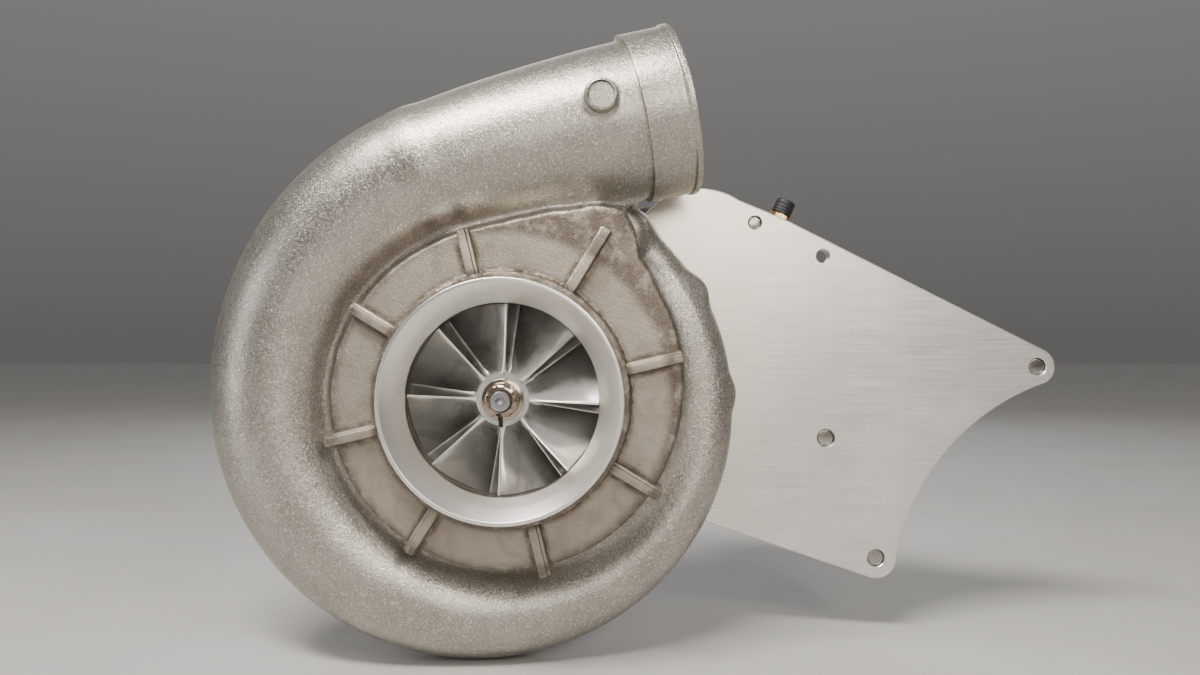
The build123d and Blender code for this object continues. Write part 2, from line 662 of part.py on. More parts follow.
pulley = pulley - slab(Pos(key_x + 0.6, INPUT_Z) * Rectangle(3.8, 5.0), 170, 210)
save("drive_pulley", pulley)
save("pulley_key", slab(Pos(key_x, INPUT_Z) * Rectangle(4.9, 4.96), 180.1, 199.9))
spacer = tube(15.5, 12.55, 169.5, PULLEY_Y0, INPUT_X, INPUT_Z)
save("pulley_spacer", spacer + tube(15.5, 11.1, 172.1, PULLEY_Y0, INPUT_X, INPUT_Z))
save("pulley_washer", tube(17.0, 4.3, 205.0, 208.0, INPUT_X, INPUT_Z))
bolt = slab(Pos(INPUT_X, INPUT_Z) * RegularPolygon(7.5, 6), 208.0, 213.5) + rod(4.15, 188, 208.0, INPUT_X, INPUT_Z)
save("pulley_bolt", bolt)
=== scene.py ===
import json
import math

import bpy
import numpy as np
import openvdb
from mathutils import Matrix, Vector
from mathutils.geometry import tessellate_polygon


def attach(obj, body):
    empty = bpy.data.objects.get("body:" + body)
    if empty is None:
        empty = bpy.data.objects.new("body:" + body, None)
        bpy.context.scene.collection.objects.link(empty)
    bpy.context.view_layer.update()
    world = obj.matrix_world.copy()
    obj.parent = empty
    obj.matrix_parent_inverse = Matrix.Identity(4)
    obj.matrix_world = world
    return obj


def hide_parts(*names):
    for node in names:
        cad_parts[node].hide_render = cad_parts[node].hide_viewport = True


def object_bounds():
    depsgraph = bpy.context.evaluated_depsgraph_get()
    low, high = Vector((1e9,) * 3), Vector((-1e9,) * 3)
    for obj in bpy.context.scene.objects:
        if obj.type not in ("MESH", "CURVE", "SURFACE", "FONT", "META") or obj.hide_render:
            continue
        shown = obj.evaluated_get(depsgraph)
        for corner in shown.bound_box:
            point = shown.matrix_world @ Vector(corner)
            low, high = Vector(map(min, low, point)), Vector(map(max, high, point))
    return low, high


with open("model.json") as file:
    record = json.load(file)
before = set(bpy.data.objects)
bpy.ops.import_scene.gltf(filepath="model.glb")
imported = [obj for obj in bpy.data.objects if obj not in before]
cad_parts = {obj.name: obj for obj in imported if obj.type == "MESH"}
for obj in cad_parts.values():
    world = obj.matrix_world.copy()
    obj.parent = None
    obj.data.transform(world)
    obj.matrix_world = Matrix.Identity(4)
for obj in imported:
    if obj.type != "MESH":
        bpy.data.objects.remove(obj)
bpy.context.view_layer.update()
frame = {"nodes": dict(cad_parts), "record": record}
NODES = frame["nodes"]
MM = 0.001

# ---------------------------------------------------------------- dimensions, in millimetres, as in the frame
RING_R, RING_MOUTH_R, RING_Y, SEAT_R = 62.7, 60.6, 14.0, 60.5
COLLAR_R, COLLAR_Y = 65.6, 7.5
FACE_R, FACE_Y = 90.0, 17.0
RIB_FRONT_Y, RIB_ROOT_Y, FIRST_RIB_DEG = 10.5, 30.0, 13.5
SCROLL = [
    (60, 112.0, 9.5), (33, 111.5, 11.0), (0, 111.0, 13.0), (-33, 113.0, 16.5), (-66, 116.3, 21.0),
    (-100, 120.3, 26.3), (-133, 123.7, 31.3), (-165, 126.2, 34.4), (-195, 126.8, 35.4), (-225, 128.2, 37.0),
    (-250, 128.9, 38.2),
]
SCROLL_WALL, SMALL_DEPTH, LARGE_DEPTH = 4.2, 60.0, 45.0
NECK_RISE, NECK_BACK = math.radians(13.3), math.radians(5.0)
NECK_S, NECK_R = [-15, 0, 20, 40, 60, 80, 103], [38.2, 38.9, 39.6, 40.3, 41.3, 42.6, 43.4]
NECK_ROOT_S, BEND_LENGTH, BEND_DROP = -15.0, 87.0, (1.2, 2.3, -5.0)
BAND_START, BAND_END, BAND_R, LIP_R, NECK_BORE_R = 101.0, 128.0, 46.2, 47.2, 41.0
INDUCER_R, TIP_R, TIP_GAP = 49.7, 70.0, 0.5
WHEEL_FRONT_Y, WHEEL_HUB_END_Y, WHEEL_BACK_Y, SHROUD_END_Y = 17.0, 62.5, 65.0, 56.5
HUB_NOSE_R, FIRST_BLADE_DEG, BLADE_T = 14.3, -2.9, 1.3
PLATE_Y, PLATE_T = 95.0, 9.5
CASE_R, CASE_SMALL_R, CASE_WALL, CAVITY_Y, JOINT_Y, COVER_Y = 88.0, 84.0, 5.5, 110.0, 141.0, 148.0
SHAFT_SPACING, SHAFT_LIFT = 100, math.radians(15)
INPUT_X, INPUT_Z = SHAFT_SPACING * math.cos(SHAFT_LIFT), SHAFT_SPACING * math.sin(SHAFT_LIFT)


# ---------------------------------------------------------------- materials
class Nodes:
    """A small helper that builds one material's nodes."""

    def __init__(self, name):
        self.mat = bpy.data.materials.new(name)
        self.mat.use_nodes = True
        self.tree = self.mat.node_tree
        self.bsdf = self.tree.nodes["Principled BSDF"]
        self.coord = self.add("ShaderNodeTexCoord").outputs["Object"]

    def add(self, kind, **values):
        node = self.tree.nodes.new(kind)
        for key, value in values.items():
            setattr(node, key, value)
        return node

    def link(self, a, b):
        self.tree.links.new(a, b)

    def put(self, socket, value):
        if isinstance(value, bpy.types.NodeSocket):
            self.link(value, socket)
        else:
            socket.default_value = value

    def mapped(self, scale, rotation=(0, 0, 0)):
        node = self.add("ShaderNodeMapping")
        node.inputs["Scale"].default_value = scale
        node.inputs["Rotation"].default_value = rotation
        self.link(self.coord, node.inputs["Vector"])
        return node.outputs["Vector"]

    def noise(self, scale, detail=3.0, rough=0.55, vector=None, distortion=0.0):
        """Noise between 0 and 1, over the piece's own coordinates unless a vector is given."""
        node = self.add("ShaderNodeTexNoise")
        node.inputs["Scale"].default_value = scale
        node.inputs["Detail"].default_value = detail
        node.inputs["Roughness"].default_value = rough
        node.inputs["Distortion"].default_value = distortion
        self.link(vector or self.coord, node.inputs["Vector"])
        return node.outputs["Fac"]

    def voronoi(self, scale):
        node = self.add("ShaderNodeTexVoronoi", feature="F1")
        node.inputs["Scale"].default_value = scale
        self.link(self.coord, node.inputs["Vector"])
        return node

    def maths(self, operation, a, b=0.0):
        node = self.add("ShaderNodeMath", operation=operation)
        for socket, value in zip(node.inputs, (a, b, 0.0)):
            self.put(socket, value)
        return node.outputs[0]

    def plus(self, a, b):
        return self.maths("ADD", a, b)

    def minus(self, a, b):
        return self.maths("SUBTRACT", a, b)

    def times(self, a, b):
        return self.maths("MULTIPLY", a, b)

    def most(self, a, b):
        return self.maths("MAXIMUM", a, b)

    def band(self, value, low, high, out_low=0.0, out_high=1.0):
        """A smooth ramp from out_low to out_high as value goes from low to high."""
        node = self.add("ShaderNodeMapRange", clamp=True, interpolation_type="SMOOTHSTEP")
        self.put(node.inputs["Value"], value)
        for key, number in (("From Min", low), ("From Max", high), ("To Min", out_low), ("To Max", out_high)):
            node.inputs[key].default_value = number
        return node.outputs["Result"]

    def mix(self, factor, a, b):
        node = self.add("ShaderNodeMix", data_type="RGBA")
        self.put(node.inputs["Factor"], factor)
        for socket, value in ((node.inputs["A"], a), (node.inputs["B"], b)):
            self.put(node.inputs[6] if socket == node.inputs["A"] else node.inputs[7], value)
        return node.outputs[2]

    def xyz(self):
        node = self.add("ShaderNodeSeparateXYZ")
        self.link(self.coord, node.inputs[0])
        return node.outputs

    def radius(self, x0=0.0, z0=0.0):
        x, _, z = self.xyz()
        dx, dz = self.minus(x, x0), self.minus(z, z0)
        return self.maths("SQRT", self.plus(self.times(dx, dx), self.times(dz, dz)))

    def bump(self, height, strength, distance, normal=None):
        node = self.add("ShaderNodeBump")
        node.inputs["Strength"].default_value = strength
        node.inputs["Distance"].default_value = distance
        self.link(height, node.inputs["Height"])
        if normal is not None:
            self.link(normal, node.inputs["Normal"])
        return node.outputs["Normal"]

    def finish(self, color, rough, metallic=1.0, normal=None):
        self.put(self.bsdf.inputs["Base Color"], color)
        self.put(self.bsdf.inputs["Roughness"], rough)
        self.put(self.bsdf.inputs["Metallic"], metallic)
        if normal is not None:
            self.link(normal, self.bsdf.inputs["Normal"])
        return self.mat


def rgb(r, g, b):
    return (r, g, b, 1.0)


def shade(colour, factor):
    """A colour made darker or lighter."""
    return rgb(*[min(1, c * factor) for c in colour])


def blasted_casting(name, base, dark, rough, face=None):
    """Bead-blasted cast aluminium, with bright grains, painted glints, soft mottling and, if asked for, a
    stained face with painted shade in its creases and in the groove beside it.
    """
    n = Nodes(name)
    grain = n.noise(1000, 2.0, 0.75)
    clump = n.noise(430, 3.0, 0.65)
    blotch = n.noise(30, 4.0, 0.6)
    fleck = n.band(n.voronoi(900).outputs["Distance"], 0.04, 0.40, 1.0, 0.0)
    tone = n.mix(n.band(blotch, 0.34, 0.68), rgb(*base), rgb(*dark))
    tone = n.mix(n.times(n.band(grain, 0.50, 0.72), 0.85), tone, shade(base, 1.9))
    tone = n.mix(n.times(n.band(clump, 0.52, 0.74), 0.35), tone, shade(dark, 0.62))
    # painted glints: tiny spots lifted to 2.2 times the base colour as sparkle, and also made a little
    # glossier
    painted_glint_and_gloss = n.times(n.band(n.noise(800, 1.0, 0.5), 0.64, 0.74), 0.6)
    tone = n.mix(painted_glint_and_gloss, tone, shade(base, 2.2))
    roughness = n.plus(rough, n.times(n.minus(grain, 0.5), 0.45))
    roughness = n.minus(roughness, n.times(painted_glint_and_gloss, 0.12))
    if face:
        _, y, _ = n.xyz()
        r = n.radius()
        depth = n.band(y, 0.0300, 0.0190)
        corner = n.band(n.radius(0.060, 0.082), 0.037, 0.027)
        inside = n.times(n.most(n.band(r, 0.1045, 0.0985), corner), depth)
        stain = n.band(n.noise(70, 5.0, 0.6, distortion=0.6), 0.40, 0.72)
        # painted shade: the face's outer rim, the ring round the collar and the feet of the ribs are darkened
        # towards the near-black third face colour, broken up by noise, where shade falls in the creases
        edge = n.most(n.band(r, 0.083, 0.0895), n.band(r, 0.0705, 0.0668))
        x, _, z = n.xyz()
        turn = n.minus(n.maths("ARCTAN2", z, x), math.radians(FIRST_RIB_DEG))
        local = n.maths("PINGPONG", turn, math.radians(22.5))
        across = n.times(r, n.maths("SINE", local))
        rib_foot_shade_mask = n.times(n.band(across, 0.0072, 0.0042), n.band(y, 0.0125, 0.0160))
        edge = n.most(edge, n.times(rib_foot_shade_mask, n.band(r, 0.064, 0.068)))
        painted_crease_shade = n.times(n.times(edge, n.band(n.noise(130, 4.0, 0.7), 0.26, 0.56)), 0.78)
        colour = n.mix(stain, rgb(*face[0]), rgb(*face[1]))
        colour = n.mix(painted_crease_shade, colour, rgb(*face[2]))
        colour = n.mix(n.times(n.band(grain, 0.5, 0.75), 0.35), colour, shade(face[0], 1.35))
        tone = n.mix(inside, tone, colour)
        # painted shade: the groove between the face's rim and the scroll tube is darkened towards a deep
        # brown, broken up by noise, in place of the shade in that recess
        groove = n.times(n.band(y, 0.0200, 0.0300), n.band(r, 0.1050, 0.0960))
        groove = n.times(groove, n.band(n.noise(90, 4.0, 0.65), 0.20, 0.60, 0.10, 0.42))
        tone = n.mix(groove, tone, shade(face[2], 1.7))
        roughness = n.plus(roughness, n.times(n.most(inside, groove), 0.16))
    height = n.plus(n.times(grain, 0.6), n.times(clump, 0.9))
    height = n.plus(height, n.times(fleck, 0.4))
    waves = n.bump(blotch, 0.10, 0.004)
    return n.finish(tone, roughness, 0.90, n.bump(height, 0.75, 0.0003, waves))


def turned_metal(name, base, rough, pitch=0.00042, x0=0.0, z0=0.0, depth=0.5, smear=0.3):
    """Lathe-turned metal, with fine grooves round a line parallel to Y."""
    n = Nodes(name)
    r = n.radius(x0, z0)
    _, y, _ = n.xyz()
    along = n.plus(r, n.times(y, 0.6))
    groove = n.maths("SINE", n.times(along, 2 * math.pi / pitch))
    chatter = n.noise(900, 2.0, 0.5)
    patch = n.noise(45, 3.0, 0.6)
    wear = n.band(patch, 0.35, 0.7)
    tone = n.mix(n.times(wear, smear), rgb(*base), shade(base, 0.78))
    height = n.plus(n.times(groove, 0.5), n.times(chatter, 0.35))
    roughness = n.plus(rough, n.times(wear, 0.03))
    return n.finish(tone, roughness, 1.0, n.bump(height, depth, 0.00001))


def polished_metal(name, base, rough, metallic=0.72):
    """Polished billet with a black index mark painted at the hub."""
    n = Nodes(name)
    haze = n.noise(60, 4.0, 0.6)
    mill = n.noise(1.0, 3.0, 0.5, n.mapped((500, 90, 500)))
    tone = n.mix(n.band(haze, 0.4, 0.75), rgb(*base), shade(base, 0.86))
    # darker swirled patches at random over the metal
    dark_swirls = n.times(n.band(n.noise(28, 3.0, 0.6, distortion=1.2), 0.48, 0.62), 0.45)
    tone = n.mix(dark_swirls, tone, rgb(*[c * part for c, part in zip(base, (0.42, 0.45, 0.42))]))
    roughness = n.plus(rough, n.times(n.band(mill, 0.4, 0.75), 0.06))
    x, y, z = n.xyz()
    mark = n.times(n.band(n.maths("ABSOLUTE", n.plus(x, 0.0011)), 0.0014, 0.0011), n.band(y, 0.0174, 0.0171))
    mark = n.times(mark, n.times(n.band(z, -0.0060, -0.0066), n.band(z, -0.0150, -0.0142)))
    tone = n.mix(mark, tone, rgb(0.008, 0.007, 0.007))
    roughness = n.plus(roughness, n.times(mark, 0.3))
    metal = n.minus(metallic, n.times(mark, metallic))
    return n.finish(tone, roughness, metal, n.bump(mill, 0.12, 0.00004))


def brushed_plate(name, base, rough):
    """Milled plate with a fine grain along X, and a painted warm sheen that brightens it towards its upper
    left.
    """
    n = Nodes(name)
    grain = n.noise(1.0, 4.0, 0.7, n.mapped((22, 400, 1500)))
    broad = n.noise(1.0, 3.0, 0.6, n.mapped((9, 60, 210)))
    cloud = n.noise(16, 4.0, 0.6, distortion=0.4)
    scuff = n.noise(1.0, 2.0, 0.6, n.mapped((160, 160, 30), (0, 0.7, 0)))
    tone = n.mix(n.band(grain, 0.3, 0.72), shade(base, 0.84), shade(base, 1.08))
    tone = n.mix(n.times(n.band(broad, 0.45, 0.75), 0.5), tone, shade(base, 0.82))
    tone = n.mix(n.times(n.band(cloud, 0.45, 0.75), 0.28), tone, shade(base, 0.86))
    tone = n.mix(n.times(n.band(scuff, 0.64, 0.74), 0.2), tone, shade(base, 1.15))
    # painted sheen: a warm, brighter tint towards the upper left of the plate and greyer elsewhere, in place
    # of the light it catches there
    x, _, z = n.xyz()
    slope = n.minus(n.times(z, 0.6), x)
    painted_sheen_mask = n.band(slope, -0.22, -0.05)
    painted_sheen_tint = n.mix(painted_sheen_mask, rgb(0.90, 0.905, 0.90), rgb(1.0, 0.965, 0.895))
    product = n.add("ShaderNodeMix", data_type="RGBA", blend_type="MULTIPLY")
    product.inputs["Factor"].default_value = 1.0
    n.link(tone, product.inputs[6])
    n.link(painted_sheen_tint, product.inputs[7])
    tone = product.outputs[2]
    roughness = n.plus(rough, n.times(n.minus(grain, 0.5), 0.22))
    roughness = n.plus(roughness, n.times(n.band(cloud, 0.4, 0.7), 0.07))
    height = n.plus(grain, n.times(broad, 0.5))
    return n.finish(tone, roughness, 1.0, n.bump(height, 0.28, 0.00005))


def plain_metal(name, base, rough, grain=900, depth=0.25, metallic=1.0):
    n = Nodes(name)
    fine = n.noise(grain, 3.0, 0.6)
    patch = n.noise(70, 4.0, 0.6)
    tone = n.mix(n.band(patch, 0.35, 0.7), rgb(*base), shade(base, 0.74))
    tone = n.mix(n.times(n.band(fine, 0.55, 0.8), 0.3), tone, shade(base, 1.3))
    roughness = n.plus(rough, n.times(n.band(patch, 0.4, 0.8), 0.12))
    return n.finish(tone, roughness, metallic, n.bump(fine, depth, 0.00006))


def moulded(name, base, rough):
    n = Nodes(name)
    fine = n.noise(1400, 2.0, 0.5)
    patch = n.noise(90, 3.0, 0.6)
    tone = n.mix(n.band(patch, 0.4, 0.8), rgb(*base), rgb(*[c * 1.9 + 0.012 for c in base]))
    roughness = n.plus(rough, n.times(fine, 0.12))
    return n.finish(tone, roughness, 0.0, n.bump(fine, 0.3, 0.00005))


MAT = {
    "cast": blasted_casting(
        "blasted_casting", (0.40, 0.375, 0.335), (0.32, 0.30, 0.265), 0.34,
        # the third face colour is the near-black brown used for the painted shade in the creases and the
        # groove
        face=((0.37, 0.325, 0.27), (0.29, 0.25, 0.205), (0.085, 0.068, 0.052)),
    ),
    "cast_raw": blasted_casting("raw_casting", (0.50, 0.49, 0.465), (0.40, 0.39, 0.365), 0.48),
    "machined": turned_metal("turned_ring", (0.86, 0.845, 0.81), 0.31, 0.0016, depth=0.10, smear=0.10),
    "polished": polished_metal("polished_billet", (0.80, 0.79, 0.76), 0.16),
    "plate": brushed_plate("brushed_plate", (0.93, 0.91, 0.87), 0.36),
    "bright_steel": plain_metal("zinc_steel", (0.70, 0.69, 0.66), 0.28),
    "stud_steel": plain_metal("stud_steel", (0.46, 0.43, 0.39), 0.20),
    "dark_steel": plain_metal("black_oxide", (0.06, 0.06, 0.065), 0.42, metallic=0.7),
    "gear_steel": plain_metal("ground_steel", (0.55, 0.55, 0.56), 0.26),
    "bearing_steel": plain_metal("bearing_steel", (0.72, 0.72, 0.73), 0.12, 1200, 0.08),
    "nut_steel": polished_metal("tinted_steel", (0.42, 0.34, 0.27), 0.16, 0.98),
    "brass": plain_metal("brass", (0.72, 0.47, 0.20), 0.28),
    "black_plastic": moulded("black_plastic", (0.012, 0.012, 0.013), 0.42),
    "seal": moulded("seal_rubber", (0.015, 0.015, 0.015), 0.62),
    "carbon": moulded("carbon_ring", (0.022, 0.022, 0.024), 0.35),
    "gasket": moulded("gasket_sheet", (0.06, 0.07, 0.08), 0.75),
}


# ---------------------------------------------------------------- mesh helpers
def show(name, mesh, body, material, replaces, sharp):
    """Put a finished mesh in the scene as a piece that rides on a body."""
    mesh.shade_smooth()
    mesh.set_sharp_from_angle(angle=math.radians(sharp))
    mesh.materials.append(material)
    obj = bpy.data.objects.new(name, mesh)
    bpy.context.scene.collection.objects.link(obj)
    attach(obj, body)
    if replaces:
        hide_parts(*replaces)


def piece(name, verts, faces, body, slot, material=None, replaces=(), sharp=38.0):
    """A mesh piece from points in millimetres."""
    mesh = bpy.data.meshes.new(name)
    mesh.from_pydata([tuple(c * MM for c in v) for v in verts], [], [tuple(f) for f in faces])
    mesh.validate()
    mesh.update()
    show(name, mesh, body, material or MAT[slot], replaces, sharp)


def rounded(corners, steps=5):
    """A closed outline from (u, v, radius) corners, with each corner rounded."""
    out = []
    count = len(corners)
    for i, (u, v, r) in enumerate(corners):
        p = np.array((u, v), float)
        a = np.array(corners[i - 1][:2], float) - p
        b = np.array(corners[(i + 1) % count][:2], float) - p
        la, lb = np.linalg.norm(a), np.linalg.norm(b)
        if r <= 0:
            out.append(tuple(p))
            continue
        a, b = a / la, b / lb
        half = math.acos(max(-1.0, min(1.0, float(a @ b)))) / 2
        if half > math.radians(89):
            out.append(tuple(p))
            continue
        cut = min(r / math.tan(half), 0.48 * la, 0.48 * lb)
        r = cut * math.tan(half)
        centre = p + (a + b) / np.linalg.norm(a + b) * (r / math.sin(half))
        start, end = p + a * cut - centre, p + b * cut - centre
        a0 = math.atan2(start[1], start[0])
        turn = (math.atan2(end[1], end[0]) - a0 + math.pi) % (2 * math.pi) - math.pi
        for k in range(steps + 1):
            w = a0 + turn * k / steps
            out.append((centre[0] + r * math.cos(w), centre[1] + r * math.sin(w)))
    return out


def lathe(outline, x0=0.0, z0=0.0, around=160, closed=True):
    """(verts, faces) of an outline of (radius, y) points turned about a line parallel to Y."""
    verts, rows = [], []
    for r, y in outline:
        if r < 1e-6:
            rows.append([len(verts)] * around)
            verts.append((x0, y, z0))
            continue
        rows.append(list(range(len(verts), len(verts) + around)))
        for k in range(around):
            a = 2 * math.pi * k / around
            verts.append((x0 + r * math.cos(a), y, z0 + r * math.sin(a)))
    faces = []
    pairs = list(zip(rows, rows[1:])) + ([(rows[-1], rows[0])] if closed else [])
    area = sum(a[0] * b[1] - b[0] * a[1] for a, b in zip(outline, outline[1:] + outline[:1]))
    for p, q in pairs:
        for k in range(around):
            j = (k + 1) % around
            loop = [p[k], p[j], q[j], q[k]]
            loop = list(dict.fromkeys(loop))
            if len(loop) > 2:
                faces.append(loop if area < 0 else loop[::-1])
    return verts, faces


def row_faces(rows, count, closed=False):
    """Quads between neighbouring rows of count points each."""
    faces = []
    for i in range(rows if closed else rows - 1):
        j = (i + 1) % rows
        for k in range(count):
            m = (k + 1) % count
            faces.append([i * count + k, i * count + m, j * count + m, j * count + k])
    return faces


def joined(*parts):
    """Several (verts, faces) as one."""
    verts, faces = [], []
    for v, f in parts:
        base = len(verts)
        verts += list(v)
        faces += [[i + base for i in face] for face in f]
    return verts, faces


def placed(mesh, origin, axis, up=(0, 1, 0)):
    """A mesh made about +Y at the origin, moved so that +Y lies along axis at origin."""
    y = Vector(axis).normalized()
    x = Vector(up).cross(y)
    if x.length < 1e-6:
        x = Vector((1, 0, 0))
    x.normalize()
    z = x.cross(y)
    o = Vector(origin)
    verts = [tuple(o + x * p[0] + y * p[1] + z * p[2]) for p in mesh[0]]
    return verts, mesh[1]


# ---------------------------------------------------------------- signed distance fields
# Grid rows worked out at once, grid cells kept each side of the surface, reach in mm when measuring a slope,
# and the largest move of a point in steps.
SLAB, GRID_BAND, SLOPE_REACH, LARGEST_MOVE = 24, 3.0, 0.02, 0.6


def smin(a, b, k):
    h = np.clip(0.5 + 0.5 * (b - a) / k, 0.0, 1.0)
    return b * (1 - h) + a * h - k * h * (1 - h)


def smax(a, b, k):
    return -smin(-a, -b, k)


def poly_distance(u, v, corners):
    """Signed distance to a closed polygon, negative inside."""
    best = np.full(u.shape, 1e9, dtype=u.dtype)
    inside = np.zeros(u.shape, dtype=bool)
    for (ax, ay), (bx, by) in zip(corners, corners[1:] + corners[:1]):
        ex, ey = bx - ax, by - ay
        wx, wy = u - ax, v - ay
        t = np.clip((wx * ex + wy * ey) / (ex * ex + ey * ey), 0.0, 1.0)
        best = np.minimum(best, (wx - ex * t) ** 2 + (wy - ey * t) ** 2)
        if ay != by:
            crosses = ((ay <= v) & (by > v)) | ((by <= v) & (ay > v))
            inside ^= crosses & (u < ax + (v - ay) * ex / ey)
    return np.where(inside, -1.0, 1.0) * np.sqrt(best)


def rod_distance(x, y, z, r, y0, y1, x0=0.0, z0=0.0):
    q = np.hypot(x - x0, z - z0) - r
    w = np.abs(y - (y0 + y1) / 2) - (y1 - y0) / 2
    return np.sqrt(np.maximum(q, 0) ** 2 + np.maximum(w, 0) ** 2) + np.minimum(np.maximum(q, w), 0)


def field_mesh(field, low, high, step):
    """Quads over the surface where field is zero, with its points moved onto that surface."""
    axes = [np.arange(a, b + step, step, dtype=np.float32) for a, b in zip(low, high)]
    values = np.empty([len(a) for a in axes], dtype=np.float32)
    for i in range(0, len(axes[0]), SLAB):
        x, y, z = np.meshgrid(axes[0][i:i + SLAB], axes[1], axes[2], indexing="ij")
        values[i:i + SLAB] = field(x, y, z)
    values /= step
    grid = openvdb.FloatGrid(GRID_BAND)
    grid.copyFromArray(np.clip(values, -GRID_BAND, GRID_BAND))
    points, quads = grid.convertToQuads(0.0)
    points = points.astype(np.float64) * step + np.array([a[0] for a in axes])
    for _ in range(3):
        value = field(*points.T)
        slope = np.stack([
            (field(*(points + offset).T) - field(*(points - offset).T)) / (2 * SLOPE_REACH)
            for offset in np.eye(3) * SLOPE_REACH
        ], axis=1)
        size = np.maximum((slope ** 2).sum(1), 0.05)
        move = slope * (value / size)[:, None]
        length = np.linalg.norm(move, axis=1)
        points -= move * np.minimum(1.0, LARGEST_MOVE * step / np.maximum(length, 1e-9))[:, None]
    return points, quads


def field_piece(name, field, low, high, step, body, slot, replaces=(), sharp=42.0):
    points, quads = field_mesh(field, low, high, step)
    mesh = bpy.data.meshes.new(name)
    mesh.vertices.add(len(points))
    mesh.vertices.foreach_set("co", (points * MM).astype(np.float32).ravel())
    mesh.loops.add(quads.size)
    mesh.loops.foreach_set("vertex_index", quads.astype(np.int32).ravel())
    mesh.polygons.add(len(quads))
    mesh.polygons.foreach_set("loop_start", np.arange(0, quads.size, 4, dtype=np.int32))
    mesh.update(calc_edges=True)
    mesh.validate()
    show(name, mesh, body, MAT[slot], replaces, sharp)


# ---------------------------------------------------------------- volute housing
def scroll_table():
    """Centre radius and tube radius against the clockwise angle from the scroll's start, smoothed."""
    turn = np.array([60.0 - s[0] for s in SCROLL])
    fine = np.linspace(0, turn[-1], 400)
    kernel = np.ones(31) / 31
    columns = []
    for column in (1, 2):
        raw = np.interp(fine, turn, [s[column] for s in SCROLL])
        wide = np.concatenate([2 * raw[0] - raw[30:0:-1], raw, 2 * raw[-1] - raw[-2:-32:-1]])
        wide = np.convolve(wide, kernel, "same")
        columns.append(wide[30:-30])
    return fine, columns[0], columns[1]


TURN, CENTRE_R, TUBE_R = scroll_table()
NECK_WAY = np.array([
    math.cos(NECK_RISE) * math.cos(NECK_BACK), math.sin(NECK_BACK), math.sin(NECK_RISE) * math.cos(NECK_BACK),
])


def tube_depth(r):
    return SMALL_DEPTH - (r - 13.0) * (SMALL_DEPTH - LARGE_DEPTH) / 27.0


NECK_START = np.array([-29.5, 45.0, 129.8])


def neck_axis(x, y, z):
    """Distance along the neck's axis and out from it. The axis bends down at its root to meet the scroll."""
    px, py, pz = x - NECK_START[0], y - NECK_START[1], z - NECK_START[2]
    s = px * NECK_WAY[0] + py * NECK_WAY[1] + pz * NECK_WAY[2]
    bend = np.clip(1.0 - (s - NECK_ROOT_S) / BEND_LENGTH, 0.0, 1.0) ** 2
    px, py, pz = px - BEND_DROP[0] * bend, py - BEND_DROP[1] * bend, pz - BEND_DROP[2] * bend
    s = px * NECK_WAY[0] + py * NECK_WAY[1] + pz * NECK_WAY[2]
    q = np.sqrt(np.maximum(px * px + py * py + pz * pz - s * s, 0))
    return s, q


def tube_distance(x, y, z, wall, start_turn=0.0):
    """The scroll and neck as one tube, less the wall."""
    turn = (60.0 - np.degrees(np.arctan2(z, x)) + 21.5) % 360.0 - 21.5
    held = np.clip(turn, start_turn, TURN[-1])
    rho, r = np.interp(held, TURN, CENTRE_R), np.interp(held, TURN, TUBE_R)
    a = np.radians(60.0 - held)
    cx, cz, cy = rho * np.cos(a), rho * np.sin(a), tube_depth(r)
    scroll = np.sqrt((x - cx) ** 2 + (y - cy) ** 2 + (z - cz) ** 2) - (r - wall)
    s, q = neck_axis(x, y, z)
    along = np.maximum(NECK_ROOT_S - s, 0)
    neck = np.sqrt(q * q + along * along) - (np.interp(s, NECK_S, NECK_R) - wall)
    return scroll, neck, s, q


def arc_points(point, count=24):
    return [point(i / count) for i in range(count + 1)]


def shroud_at(m, gap):
    t = math.pi / 2 * m
    return (
        TIP_R - (TIP_R - INDUCER_R - gap) * math.cos(t),
        WHEEL_FRONT_Y + (SHROUD_END_Y + TIP_GAP - gap - WHEEL_FRONT_Y) * math.sin(t),
    )


def hub_at(m, under=0.0):
    t = math.pi / 2 * m
    return (
        TIP_R - (TIP_R - HUB_NOSE_R + under) * math.cos(t),
        WHEEL_FRONT_Y + (WHEEL_HUB_END_Y - WHEEL_FRONT_Y + under) * math.sin(t),
    )


SEAT_GAP, BODY_BACK_Y = 0.04, 80.0
BODY_OUTLINE = [
    (30.0, RING_Y), (SEAT_R + SEAT_GAP, RING_Y), (SEAT_R + SEAT_GAP, COLLAR_Y), (COLLAR_R, COLLAR_Y),
    (COLLAR_R + 1.2, FACE_Y), (FACE_R - 1.0, FACE_Y), (FACE_R, FACE_Y + 1.0), (FACE_R + 2.0, 44.0),
    (102.0, 52.0), (112.0, 66.0), (112.0, BODY_BACK_Y), (30.0, BODY_BACK_Y),
]
SPACE_OUTLINE = (
    [(-5.0, -5.0), (INDUCER_R + TIP_GAP, -5.0)]
    + arc_points(lambda m: shroud_at(m, TIP_GAP), 16)
    + [(105.0, 56.5), (105.0, 62.5), (96.0, 62.5), (96.0, 120.0), (-5.0, 120.0)]
)
RING_SEAT = [(30.0, -5.0), (SEAT_R + SEAT_GAP, -5.0), (SEAT_R + SEAT_GAP, RING_Y), (30.0, RING_Y)]
